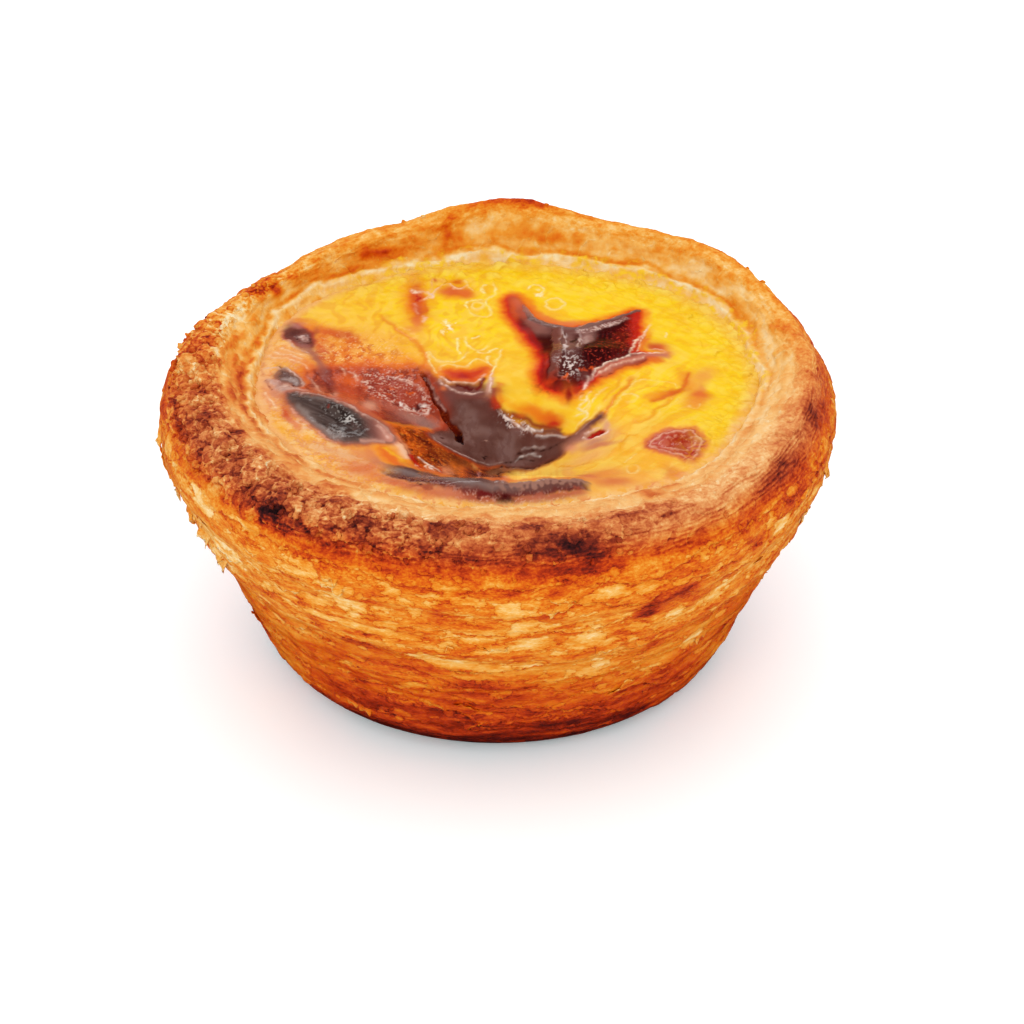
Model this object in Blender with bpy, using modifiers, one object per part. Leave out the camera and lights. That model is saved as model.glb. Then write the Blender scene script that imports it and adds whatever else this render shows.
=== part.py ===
"""Portuguese custard tart: a laminated pastry case, pressed up the side of a steep round tin,
filled with baked custard. Two solids: the case, and the custard that fills it to its floor.

Frame: metres, +Z up, origin under the middle of the tart on the flat base it rests on.
+X is the tart's right, -Y its front.
"""

import math

import bmesh
import bpy
from mathutils import Vector

MM = 0.001

# Driving sizes, in millimetres
BASE_RADIUS = 23.6      # flat of the underside
LIP_RADIUS = 36.8       # widest ring of the rim
LIP_HEIGHT = 28.4
CREST_RADIUS = 33.6     # top of the rolled rim
CREST_HEIGHT = 33.6
CUSTARD_RADIUS = 26.8   # where the custard meets the rim's inner slope
CUSTARD_EDGE = 30.7
FLOOR = 3.2             # pastry under the custard
WALL_GAP = 0.35         # clearance between the two solids
HOLLOW_DEPTH = 4.6      # how far the custard has sunk in front of its middle
CENTRE = (0.0, -0.06)   # brings the bounding box over the origin
STEPS = 84              # facets round the tart

# The turned half sections before the tart's unevenness: (radius, height)
CASE_INSIDE = [
    (0.0, FLOOR), (10.0, FLOOR), (18.5, FLOOR + 0.1), (21.6, FLOOR + 1.3), (23.4, 6.6),
    (25.3, 11.0), (27.0, 15.6), (28.0, 20.0), (28.2, 24.0), (27.6, 27.6),
    (CUSTARD_RADIUS, CUSTARD_EDGE),
]
CASE_RIM = [
    (28.0, 31.5), (29.5, 32.4), (31.0, 33.1), (32.4, 33.5), (CREST_RADIUS, CREST_HEIGHT),
    (34.7, 33.1), (35.6, 32.1), (36.3, 30.5), (LIP_RADIUS, LIP_HEIGHT),
]
CASE_OUTSIDE = [
    (36.5, 26.3), (35.7, 23.9), (34.8, 21.8), (33.7, 19.6), (32.5, 17.4), (31.3, 15.0),
    (30.3, 12.6), (29.3, 10.2), (28.3, 7.8), (27.4, 5.4), (26.4, 3.2), (25.2, 1.2),
    (BASE_RADIUS, 0.0), (0.0, 0.0),
]


def smooth(low, high, value):
    t = min(1.0, max(0.0, (value - low) / (high - low)))
    return t * t * (3 - 2 * t)


def near(theta, degrees, width):
    """1 at that bearing, falling to 0 over the width in degrees."""
    d = (math.degrees(theta) - degrees + 180) % 360 - 180
    return math.exp(-((d / width) ** 2))


def lip_shift(t):
    """How far the outside of the rim stands off its round shape."""
    return (0.5 * near(t, 86, 18) - 0.7 * near(t, 130, 26) + 0.1 * near(t, 165, 18)
            + 0.8 * near(t, 38, 24) + 0.14 * math.sin(6 * t + 2) + 0.1 * math.sin(11 * t))


def crest_shift(t):
    return (0.85 * math.cos(t - math.radians(25)) - 0.6 * near(t, 125, 24) + 0.3 * near(t, 165, 16)
            + 1.0 * near(t, 86, 13) + 0.7 * near(t, 42, 20) - 0.4 * near(t, 14, 10)
            + 0.2 * math.sin(5 * t + 0.6))


def crest_lift(t):
    """Height of the rim's top against the even one."""
    return (1.5 * near(t, 92, 14) + 0.7 * near(t, 50, 18) + 0.5 * near(t, -95, 45)
            - 0.7 * near(t, -160, 22) - 0.5 * near(t, -35, 18) + 0.5 * near(t, 0, 16)
            - 0.4 * near(t, 150, 20) + 0.15 * math.sin(9 * t + 1))


def custard_shift(t):
    """The custard lies a little behind the middle, and isn't round."""
    return (1.6 * math.sin(t) + 0.5 * math.cos(t) + 1.9 * near(t, 36, 28) + 1.6 * near(t, 138, 26)
            + 1.3 * near(t, -38, 16) - 0.7 * near(t, -80, 30) - 0.4 * near(t, -125, 25)
            + 0.4 * near(t, 95, 14) + 0.5 * near(t, -178, 18) + 0.9 * near(t, 2, 18))


def custard_lift(t):
    return -0.4 * math.sin(t)


def ledges(t, z):
    """Sheets of the laminated dough that end in low ledges round the side."""
    found = 0.0
    for height, tilt, phase, deep in ((18.2, 1.5, 0.4, 0.55), (11.2, 1.1, 2.1, 0.3), (24.4, 1.0, 4.0, 0.35)):
        at = z - height - tilt * math.sin(t + phase) - 0.6 * math.sin(3 * t + 2 * phase)
        found += deep * (smooth(-0.8, 0.8, at) - smooth(0.8, 6.5, at))
    return found * smooth(1.0, 5.0, z)


def uneven(radius, height, t, outside):
    """A point of the turned section moved to the tart's own uneven shape."""
    high = smooth(7.0, 29.0, height)
    outer = smooth(27.5, 33.5, radius)
    top = smooth(CREST_RADIUS + 2.2, CREST_RADIUS, radius) * smooth(27.0, 32.0, height)
    shift = (1 - outer) * custard_shift(t) * min(1.0, radius / 20.0)
    shift += outer * (top * crest_shift(t) + (1 - top) * lip_shift(t))
    lift = (1 - outer) * custard_lift(t) + outer * crest_lift(t)
    r = radius + shift * high
    if outside:
        r += ledges(t, height)
    z = height + lift * smooth(22.0, 32.0, height) * min(1.0, radius / 20.0)
    return r, z


# The custard's top: (x, y, half width along x, half width along y, turn in degrees, height)
CUSTARD_RELIEF = [
    (2.0, -10.0, 8.5, 6.0, 10, -HOLLOW_DEPTH),   # the sunken middle, in front of the centre
    (-6.0, -3.5, 7.0, 4.0, -25, -1.6),           # its arm to the left
    (0.0, 8.0, 17.0, 11.0, 0, 0.5),              # the plump back
    (-17.0, -4.0, 5.5, 2.4, -32, 1.5),           # dark blister at the left
    (-22.5, 6.0, 3.0, 2.4, 0, 0.9),              # small blister at the left edge
    (2.0, -20.0, 11.5, 2.4, 3, 1.6),             # rolled skin along the front
    (9.5, 6.0, 6.5, 3.0, 22, 1.5),               # burnt blister behind the middle
    (19.5, -8.0, 3.2, 2.4, 10, 0.8),             # small blister at the right
    (-8.0, 14.5, 4.0, 2.5, 15, 0.6),             # browned bubble at the back
]


def custard_relief(x, y):
    height = 0.0
    for cx, cy, wide, deep, turn, tall in CUSTARD_RELIEF:
        a = math.radians(turn)
        u = (x - cx) * math.cos(a) + (y - cy) * math.sin(a)
        v = -(x - cx) * math.sin(a) + (y - cy) * math.cos(a)
        height += tall * math.exp(-((u / wide) ** 2) - (v / deep) ** 2)
    return height


def clear_scene():
    for obj in list(bpy.data.objects):
        bpy.data.objects.remove(obj, do_unlink=True)


def material(name, colour, roughness):
    mat = bpy.data.materials.new(name)
    mat.use_nodes = True
    shader = mat.node_tree.nodes["Principled BSDF"]
    shader.inputs["Base Color"].default_value = (*colour, 1.0)
    shader.inputs["Roughness"].default_value = roughness
    shader.inputs["Metallic"].default_value = 0.0
    return mat


def turned(name, profile, collection):
    """A half section in the XZ plane, turned round Z with a Screw modifier and made a mesh."""
    mesh = bpy.data.meshes.new(name + "_section")
    points = [(r * MM, 0.0, z * MM) for r, z in profile]
    mesh.from_pydata(points, [(i, i + 1) for i in range(len(points) - 1)], [])
    section = bpy.data.objects.new(name + "_section", mesh)
    collection.objects.link(section)
    screw = section.modifiers.new("turn", "SCREW")
    screw.axis = "Z"
    screw.angle = math.tau
    screw.steps = screw.render_steps = STEPS
    screw.use_merge_vertices = True
    screw.merge_threshold = 1e-6
    screw.use_smooth_shade = True
    bpy.context.view_layer.update()
    graph = bpy.context.evaluated_depsgraph_get()
    made = bpy.data.meshes.new_from_object(section.evaluated_get(graph))
    bpy.data.objects.remove(section, do_unlink=True)
    made.name = name
    obj = bpy.data.objects.new(name, made)
    collection.objects.link(obj)
    return obj


def reshape(obj, move):
    """Welds the turned mesh on its axis, then moves each vertex by move(radius, height, bearing)."""
    bm = bmesh.new()
    bm.from_mesh(obj.data)
    bmesh.ops.remove_doubles(bm, verts=bm.verts, dist=1e-6)
    for v in bm.verts:
        radius, height = math.hypot(v.co.x, v.co.y) / MM, v.co.z / MM
        t = math.atan2(v.co.y, v.co.x)
        r, z = move(radius, height, t)
        v.co = Vector(((r * math.cos(t) + CENTRE[0]) * MM, (r * math.sin(t) + CENTRE[1]) * MM, z * MM))
    bmesh.ops.triangulate(bm, faces=bm.faces)
    bmesh.ops.recalc_face_normals(bm, faces=bm.faces)
    bm.to_mesh(obj.data)
    bm.free()
    obj.data.shade_smooth()
    obj.data.set_sharp_from_angle(angle=math.radians(50))


def build_case(collection):
    profile = CASE_INSIDE + CASE_RIM + CASE_OUTSIDE
    # A point of the outside is on the lip or below it; the inside and rim keep their smooth slope.
    # Sections never share a (radius, height), so the height of the wall at a radius tells them apart.
    def side(radius, height):
        return radius > 25.0 and height < LIP_HEIGHT + 0.1 and radius > wall_inside(height) + 2.0

    obj = turned("pastry_case", profile, collection)
    reshape(obj, lambda r, z, t: uneven(r, z, t, side(r, z)))
    obj.data.materials.append(material("baked_pastry", (0.62, 0.30, 0.09), 0.55))
    return obj


def wall_inside(height):
    """Radius of the case's inner wall at a height."""
    points = CASE_INSIDE[2:]
    for (r0, z0), (r1, z1) in zip(points, points[1:]):
        if z0 <= height <= z1:
            return r0 + (r1 - r0) * (height - z0) / (z1 - z0)
    return 0.0 if height < points[0][1] else points[-1][0]


def build_custard(collection):
    top = [(CUSTARD_RADIUS - WALL_GAP) * k / 13 for k in range(14)]
    profile = [(r, CUSTARD_EDGE - 0.05) for r in top]
    profile += [(r - WALL_GAP, z + (WALL_GAP if z < 5 else 0.0)) for r, z in reversed(CASE_INSIDE[1:-1])]
    profile.append((0.0, FLOOR + WALL_GAP))

    def move(radius, height, t):
        r, z = uneven(radius, height, t, False)
        if height > CUSTARD_EDGE - 0.1:
            inner = smooth(1.0, 0.86, radius / top[-1])
            z += custard_relief(r * math.cos(t), r * math.sin(t)) * inner
        return r, z

    obj = turned("custard", profile, collection)
    reshape(obj, move)
    obj.data.materials.append(material("baked_custard", (0.93, 0.58, 0.10), 0.25))
    return obj


def main():
    clear_scene()
    collection = bpy.data.collections.new("custard_tart")
    bpy.context.scene.collection.children.link(collection)
    tart = bpy.data.objects.new("custard_tart", None)
    collection.objects.link(tart)
    for obj in (build_case(collection), build_custard(collection)):
        obj.parent = tart


main()
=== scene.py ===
"""The looks of the Portuguese custard tart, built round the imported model.

The case's skin is one surface, turned from the same section and moved by the same unevenness as the
solid, cut into rings (lower, middle and upper side, outer rim, inner rim) that share their edges.
Its sheets, torn edges and crumbs are real relief in it, and loose flakes and crumbs are pieces of their own.
The custard's top is a height field with its blisters, folds, hollow and rolled front edge, in four quarters.
How brown each place is comes from its shape and place; the materials add the finer grain.
Lengths are millimetres until a mesh is made.
"""

import math
from concurrent.futures import ThreadPoolExecutor

import bmesh
import bpy
import numpy as np
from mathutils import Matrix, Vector


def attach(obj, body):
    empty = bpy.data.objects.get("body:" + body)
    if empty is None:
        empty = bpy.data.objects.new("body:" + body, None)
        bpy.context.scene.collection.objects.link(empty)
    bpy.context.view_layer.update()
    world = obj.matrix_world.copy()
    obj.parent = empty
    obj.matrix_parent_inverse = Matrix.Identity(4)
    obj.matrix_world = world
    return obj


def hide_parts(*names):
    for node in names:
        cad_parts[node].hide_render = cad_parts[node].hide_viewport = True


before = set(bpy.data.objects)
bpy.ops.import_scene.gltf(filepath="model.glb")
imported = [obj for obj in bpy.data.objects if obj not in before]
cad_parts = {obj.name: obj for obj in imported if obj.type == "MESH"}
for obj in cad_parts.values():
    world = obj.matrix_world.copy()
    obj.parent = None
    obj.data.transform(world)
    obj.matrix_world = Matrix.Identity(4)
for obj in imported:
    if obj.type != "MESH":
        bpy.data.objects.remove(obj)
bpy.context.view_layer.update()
MM = 0.001
CENTRE = (0.0, -0.06)
COLUMNS = 1280
ROW = 0.17
CUSTARD_GRID = 560
LIGHT = 1.23            # how much light reaches the tart, so painted colours are divided by it


# ---------------------------------------------------------------- noise

_state = np.random.RandomState(20)
PERM = np.concatenate([_state.permutation(256)] * 3).astype(np.int32)
GRADS = _state.normal(size=(256, 3))
GRADS = (GRADS / np.linalg.norm(GRADS, axis=1, keepdims=True)).astype(np.float32)
SPOTS = _state.uniform(size=(256, 3)).astype(np.float32)
OWN = _state.uniform(size=256).astype(np.float32)


def moved(p, seed):
    return np.asarray(p, np.float32) + np.float32([(seed * 17.31) % 97, (seed * 23.77) % 89, (seed * 31.17) % 83])


def noise(p, seed=0):
    """Gradient noise at points p (n, 3), about -1 to 1."""
    q = moved(p, seed)
    c = np.floor(q)
    f = q - c
    i = c.astype(np.int32) & 255
    u = f * f * f * (f * (f * 6 - 15) + 10)
    total = np.zeros(len(q), np.float32)
    for dx in (0, 1):
        a = PERM[i[:, 0] + dx] + i[:, 1]
        wx = u[:, 0] if dx else 1 - u[:, 0]
        for dy in (0, 1):
            b = PERM[a + dy] + i[:, 2]
            wy = wx * (u[:, 1] if dy else 1 - u[:, 1])
            for dz in (0, 1):
                g = GRADS[PERM[b + dz]]
                w = wy * (u[:, 2] if dz else 1 - u[:, 2])
                total += w * (g[:, 0] * (f[:, 0] - dx) + g[:, 1] * (f[:, 1] - dy) + g[:, 2] * (f[:, 2] - dz))
    return total * 1.7


def fbm(p, octaves=3, seed=0, gain=0.5):
    total, size, scale = 0.0, 1.0, 1.0
    for k in range(octaves):
        total = total + size * noise(np.asarray(p) * scale, seed + 31 * k)
        size *= gain
        scale *= 2.07
    return total


def ridged(p, octaves=3, seed=0):
    """About 1 along thin crests, falling away on both sides."""
    total, size, scale, whole = 0.0, 1.0, 1.0, 0.0
    for k in range(octaves):
        total = total + size * (1 - np.minimum(1.0, np.abs(noise(np.asarray(p) * scale, seed + 17 * k)) * 2.4))
        whole += size
        size *= 0.5
        scale *= 2.1
    return total / whole


def cells(p, seed=0):
    """Nearest scattered point: its distance, the next one's distance, its own random number, and the way from it."""
    q = moved(p, seed)
    c = np.floor(q)
    f = q - c
    i = c.astype(np.int32)
    near1 = np.full(len(q), 9.0, np.float32)
    near2 = near1.copy()
    own = np.zeros(len(q), np.float32)
    way = np.zeros((len(q), 3), np.float32)
    for dx in (-1, 0, 1):
        a = PERM[(i[:, 0] + dx) & 255]
        for dy in (-1, 0, 1):
            b = PERM[a + ((i[:, 1] + dy) & 255)]
            for dz in (-1, 0, 1):
                h = PERM[b + ((i[:, 2] + dz) & 255)]
                r = f - SPOTS[h] - np.float32([dx, dy, dz])
                d = np.sqrt((r * r).sum(1))
                closer = d < near1
                near2 = np.where(closer, near1, np.minimum(near2, d))
                own = np.where(closer, OWN[h], own)
                way = np.where(closer[:, None], r, way)
                near1 = np.where(closer, d, near1)
    return near1, near2, own, way


# ---------------------------------------------------------------- small maths

def smooth(low, high, value):
    t = np.clip((value - low) / (high - low), 0.0, 1.0)
    return t * t * (3 - 2 * t)


def turn_to(deg, centre):
    return (deg - centre + 180.0) % 360.0 - 180.0


def near(theta, degrees, width):
    return np.exp(-((turn_to(np.degrees(theta), degrees) / width) ** 2))


def blob(deg, s, at_deg, at_s, wide, tall):
    """1 at a bearing and a place on the section, falling off over the two half widths."""
    return np.exp(-((turn_to(deg, at_deg) / wide) ** 2) - ((s - at_s) / tall) ** 2)


def curve(points, closed=False, steps=6):
    """Catmull-Rom curve through points."""
    p = np.array(points, float)
    n = len(p)
    out = []
    for i in range(n if closed else n - 1):
        if closed:
            a, b, c, d = p[i - 1], p[i], p[(i + 1) % n], p[(i + 2) % n]
        else:
            a, b, c, d = p[max(i - 1, 0)], p[i], p[i + 1], p[min(i + 2, n - 1)]
        for k in range(steps):
            t = k / steps
            out.append(0.5 * ((2 * b) + (c - a) * t + (2 * a - 5 * b + 4 * c - d) * t * t
                              + (3 * b - a - 3 * c + d) * t ** 3))
    if not closed:
        out.append(p[-1])
    return np.array(out)


def segment(x, y, a, b):
    d = b - a
    t = np.clip(((x - a[0]) * d[0] + (y - a[1]) * d[1]) / max(1e-9, d @ d), 0, 1)
    return np.hypot(x - a[0] - t * d[0], y - a[1] - t * d[1]), t


def inside(x, y, outline, reach=3.0):
    """Distance to a smooth closed outline, positive inside it; far outside it is just -reach."""
    p = curve(outline, closed=True, steps=4)
    low, high = p.min(0) - reach, p.max(0) + reach
    pick = np.flatnonzero((x > low[0]) & (x < high[0]) & (y > low[1]) & (y < high[1]))
    result = np.full(len(x), -reach)
    if not len(pick):
        return result
    u, v = x[pick], y[pick]
    best = np.full(len(pick), reach)
    odd = np.zeros(len(pick), bool)
    for i in range(len(p)):
        a, b = p[i - 1], p[i]
        best = np.minimum(best, segment(u, v, a, b)[0])
        cross = (a[1] > v) != (b[1] > v)
        if a[1] != b[1]:
            odd ^= cross & (u < (b[0] - a[0]) * (v - a[1]) / (b[1] - a[1]) + a[0])
    result[pick] = np.where(odd, best, -np.minimum(best, reach))
    return result


def beside(x, y, line, reach=4.0):
    """Distance to a smooth open line, how far along it (0 to 1), and the side (positive to its left)."""
    p = curve(line, steps=4)
    low, high = p.min(0) - reach, p.max(0) + reach
    pick = np.flatnonzero((x > low[0]) & (x < high[0]) & (y > low[1]) & (y < high[1]))
    best, along, side = np.full(len(x), 1e3), np.zeros(len(x)), np.zeros(len(x))
    if not len(pick):
        return best, along, side
    u, v = x[pick], y[pick]
    b, al, sd = best[pick], along[pick], side[pick]
    for i in range(len(p) - 1):
        d, t = segment(u, v, p[i], p[i + 1])
        closer = d < b
        e = p[i + 1] - p[i]
        b = np.where(closer, d, b)
        al = np.where(closer, (i + t) / (len(p) - 1), al)
        sd = np.where(closer, np.sign(e[0] * (v - p[i][1]) - e[1] * (u - p[i][0])), sd)
    best[pick], along[pick], side[pick] = b, al, sd
    return best, along, side


def linear(c):
    c = np.asarray(c, float) / 255.0
    return np.where(c <= 0.04045, c / 12.92, ((c + 0.055) / 1.055) ** 2.4)


def in_parts(work, *arrays):
    """Runs work on slices of the arrays, four at a time, and joins what it returns."""
    n = len(arrays[0])
    cuts = np.linspace(0, n, 13).astype(int)
    with ThreadPoolExecutor(4) as pool:
        parts = list(pool.map(lambda k: work(*(a[cuts[k]:cuts[k + 1]] for a in arrays)), range(12)))
    return [np.concatenate(some) for some in zip(*parts)]


# ---------------------------------------------------------------- the tart's own shape, as in the solids

CREST_RADIUS = 33.6
CUSTARD_RADIUS = 26.8
CUSTARD_EDGE = 30.7
SECTION = [
    (22.9, 0.05), (23.6, 0.12), (24.4, 0.6), (25.2, 1.4), (26.4, 3.2), (27.4, 5.4), (28.3, 7.8), (29.3, 10.2),
    (30.3, 12.6), (31.3, 15.0), (32.5, 17.4), (33.7, 19.6), (34.8, 21.8), (35.7, 23.9), (36.5, 26.3),
    (36.8, 28.4), (36.3, 30.5), (35.6, 32.1), (34.7, 33.1), (CREST_RADIUS, 33.6), (32.4, 33.5),
    (31.0, 33.1), (29.5, 32.4), (28.0, 31.5), (CUSTARD_RADIUS, CUSTARD_EDGE), (25.9, 29.8), (25.4, 28.9),
]


def lip_shift(t):
    return (0.5 * near(t, 86, 18) - 0.7 * near(t, 130, 26) + 0.1 * near(t, 165, 18)
            + 0.8 * near(t, 38, 24) + 0.14 * np.sin(6 * t + 2) + 0.1 * np.sin(11 * t))


def crest_shift(t):
    return (0.85 * np.cos(t - math.radians(25)) - 0.6 * near(t, 125, 24) + 0.3 * near(t, 165, 16)
            + 1.0 * near(t, 86, 13) + 0.7 * near(t, 42, 20) - 0.4 * near(t, 14, 10)
            + 0.2 * np.sin(5 * t + 0.6))


def crest_lift(t):
    return (1.5 * near(t, 92, 14) + 0.7 * near(t, 50, 18) + 0.5 * near(t, -95, 45)
            - 0.7 * near(t, -160, 22) - 0.5 * near(t, -35, 18) + 0.5 * near(t, 0, 16)
            - 0.4 * near(t, 150, 20) + 0.15 * np.sin(9 * t + 1))


def custard_shift(t):
    return (1.6 * np.sin(t) + 0.5 * np.cos(t) + 1.9 * near(t, 36, 28) + 1.6 * near(t, 138, 26)
            + 1.3 * near(t, -38, 16) - 0.7 * near(t, -80, 30) - 0.4 * near(t, -125, 25)
            + 0.4 * near(t, 95, 14) + 0.5 * near(t, -178, 18) + 0.9 * near(t, 2, 18))


def custard_lift(t):
    return -0.4 * np.sin(t)


def ledges(t, z):
    found = 0.0
    for height, tilt, phase, deep in ((18.2, 1.5, 0.4, 0.55), (11.2, 1.1, 2.1, 0.3), (24.4, 1.0, 4.0, 0.35)):
        at = z - height - tilt * np.sin(t + phase) - 0.6 * np.sin(3 * t + 2 * phase)
        found = found + deep * (smooth(-0.8, 0.8, at) - smooth(0.8, 6.5, at))
    return found * smooth(1.0, 5.0, z)


def uneven(radius, height, t, outside):
    high = smooth(7.0, 29.0, height)
    outer = smooth(27.5, 33.5, radius)
    outer = np.where(outside > 0.5, np.maximum(outer, 0.0), outer)
    top = smooth(CREST_RADIUS + 2.2, CREST_RADIUS, radius) * smooth(27.0, 32.0, height)
    shift = (1 - outer) * custard_shift(t) * np.minimum(1.0, radius / 20.0)
    shift = shift + outer * (top * crest_shift(t) + (1 - top) * lip_shift(t))
    lift = (1 - outer) * custard_lift(t) + outer * crest_lift(t)
    r = radius + shift * high + ledges(t, height) * outside
    z = height + lift * smooth(22.0, 32.0, height) * np.minimum(1.0, radius / 20.0)
    return r, z


RELIEF = [
    (2.0, -10.0, 8.5, 6.0, 10, -4.6), (-6.0, -3.5, 7.0, 4.0, -25, -1.6), (0.0, 8.0, 17.0, 11.0, 0, 0.5),
    (-17.0, -4.0, 5.5, 2.4, -32, 1.5), (-22.5, 6.0, 3.0, 2.4, 0, 0.9), (2.0, -20.0, 11.5, 2.4, 3, 1.6),
    (9.5, 6.0, 6.5, 3.0, 22, 1.5), (19.5, -8.0, 3.2, 2.4, 10, 0.8), (-8.0, 14.5, 4.0, 2.5, 15, 0.6),
]


def custard_relief(x, y):
    height = 0.0 * x
    for cx, cy, wide, deep, turn, tall in RELIEF:
        a = math.radians(turn)
        u = (x - cx) * math.cos(a) + (y - cy) * math.sin(a)
        v = -(x - cx) * math.sin(a) + (y - cy) * math.cos(a)
        height = height + tall * np.exp(-((u / wide) ** 2) - (v / deep) ** 2)
    return height


def custard_rim(t):
    """Radius at which the custard meets the case."""
    one = np.ones_like(t)
    return uneven(CUSTARD_RADIUS * one, CUSTARD_EDGE * one, t, 0.0 * one)[0]


# ---------------------------------------------------------------- the case's skin

LINE = curve(SECTION, steps=10)
REACH = np.concatenate([[0.0], np.cumsum(np.hypot(*np.diff(LINE, axis=0).T))])
LIP = float(np.interp(28.4, LINE[:160, 1], REACH[:160]))        # s of the widest ring
CREST = float(REACH[np.argmax(LINE[:, 1])])                     # s of the rim's top
END = float(REACH[-1])


def skin(t, s):
    """The even skin of the case at bearing t and distance s up the section, and its outward normal."""
    def place(t, s):
        radius = np.interp(s, REACH, LINE[:, 0])
        height = np.interp(s, REACH, LINE[:, 1])
        out = smooth(LIP + 2.2, LIP, s)
        r, z = uneven(radius, height, t, out)
        return np.stack([r * np.cos(t), r * np.sin(t), z], 1)

    p = place(t, s)
    e = 0.004
    round_ = place(t + e, s) - place(t - e, s)
    up = place(t, np.minimum(s + 0.12, END)) - place(t, np.maximum(s - 0.12, 0.0))
    n = np.cross(round_, up)
    n /= np.maximum(1e-12, np.linalg.norm(n, axis=1, keepdims=True))
    up /= np.maximum(1e-12, np.linalg.norm(up, axis=1, keepdims=True))
    return p, n, up


# How brown the crust is, 0 (pale) to about 1.2 (burnt), as colours: the buttery side, and the drier rim, whose duller
# pinkish browns are partly painted sheen.
BUTTERY = [
    (-0.15, (255, 234, 186)), (0.0, (254, 214, 148)), (0.15, (250, 188, 94)), (0.30, (243, 155, 44)),
    (0.45, (234, 119, 6)), (0.58, (219, 83, 0)), (0.70, (192, 53, 0)), (0.82, (150, 33, 0)),
    (0.95, (98, 22, 12)), (1.08, (62, 14, 20)), (1.25, (34, 10, 16)),
]
DRY_AND_SHEEN = [
    (-0.15, (255, 236, 200)), (0.0, (253, 220, 170)), (0.15, (248, 195, 130)), (0.30, (237, 163, 96)),
    (0.45, (221, 130, 70)), (0.58, (199, 98, 50)), (0.70, (170, 70, 34)), (0.82, (136, 47, 26)),
    (0.95, (98, 28, 18)), (1.08, (66, 18, 16)), (1.25, (36, 10, 12)),
]
# Edges of the dough's sheets at the front, where a sheet above overlaps the one below:
# (bearing, s) points, step out, cream edge, its height, painted shade in the crack beneath
FRONT_EDGES = [
    ([(-160, 4.4), (-130, 4.9), (-118, 4.8), (-108, 4.5), (-100, 3.7), (-90, 3.3), (-80, 3.0), (-70, 3.3), (-60, 3.7), (-48, 3.3), (-22, 3.2)], 0.20, 0.25, 0.25, 1.0),
    ([(-130, 6.6), (-115, 6.8), (-104, 6.5), (-94, 6.2), (-84, 6.4), (-76, 5.8), (-66, 5.4), (-56, 4.9), (-46, 5.0)], 0.14, 0.35, 0.3, 0.7),
    ([(-148, 9.0), (-138, 9.8), (-130, 10.5), (-124, 11.1), (-118, 11.9), (-112, 12.5), (-108, 11.7), (-104, 10.3), (-100, 9.6), (-96, 8.4), (-92, 6.9), (-87, 6.6), (-80, 7.4)], 0.24, 0.8, 0.45, 1.0),
    ([(-127, 13.2), (-121, 14.6), (-116, 15.2), (-110, 14.6), (-104, 14.0), (-98, 12.6), (-92, 10.9), (-87, 10.2), (-81, 10.0), (-76, 9.4), (-72, 8.6), (-66, 8.0), (-60, 6.7), (-50, 5.5)], 0.30, 1.0, 0.5, 1.0),
    ([(-123, 16.5), (-114, 17.1), (-108, 17.2), (-102, 16.0), (-97, 15.0), (-92, 14.2), (-86, 14.6), (-80, 14.0), (-74, 12.8), (-68, 11.5), (-60, 10.4), (-52, 9.6), (-44, 8.9), (-30, 8.3)], 0.26, 0.8, 0.45, 0.9),
    ([(-104, 17.4), (-96, 16.3), (-88, 16.6), (-80, 15.5), (-72, 15.9), (-64, 14.3), (-56, 13.2), (-48, 12.0), (-34, 11.4)], 0.24, 0.75, 0.5, 0.7),
    ([(-160, 23.2), (-146, 24.0), (-138, 24.9), (-131, 25.3), (-124, 24.3), (-117, 23.9), (-111, 23.2), (-107.5, 20.4), (-103, 19.0), (-98, 18.1), (-92, 17.7), (-86, 18.6), (-78, 20.0), (-70, 19.9), (-62, 20.6), (-52, 21.6), (-40, 22.4), (-20, 22.8)], 0.50, 1.0, 1.1, 1.0),
    ([(-129, 23.0), (-124, 21.6), (-121, 20.2), (-118, 21.5), (-114, 21.9), (-110, 20.6), (-107, 18.6)], 0.22, 0.2, 0.3, 0.9),
    ([(-122, 27.4), (-108, 26.6), (-100, 26.2), (-92, 25.6), (-84, 26.8), (-76, 25.4), (-68, 26.4), (-60, 24.4), (-46, 25.2)], 0.24, 0.75, 0.6, 0.7),
    ([(-145, 29.8), (-128, 30.4), (-116, 29.6), (-104, 30.1), (-94, 28.8), (-84, 29.6), (-74, 30.2), (-66, 29.2), (-56, 30.6), (-46, 30.2), (-36, 31.2), (-18, 32.0)], 0.26, 0.7, 0.5, 0.9),
    ([(-176, 33.2), (-150, 32.8), (-135, 33.6), (-120, 33.0), (-104, 32.6), (-90, 32.9), (-78, 32.6), (-66, 32.2), (-54, 33.4), (-40, 33.6), (-30, 34.2), (-16, 34.0)], 0.24, 0.5, 0.4, 0.8),
    ([(-66, 27.4), (-60, 28.6), (-52, 27.6), (-44, 28.4), (-36, 27.4), (-24, 28.4)], 0.22, 0.6, 0.4, 0.8),
    ([(-160, 14.6), (-148, 15.4), (-138, 16.6), (-128, 17.0)], 0.2, 0.4, 0.4, 0.7),
    ([(-156, 19.4), (-146, 20.4), (-136, 20.8), (-126, 20.0)], 0.2, 0.4, 0.4, 0.7),
]
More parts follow.
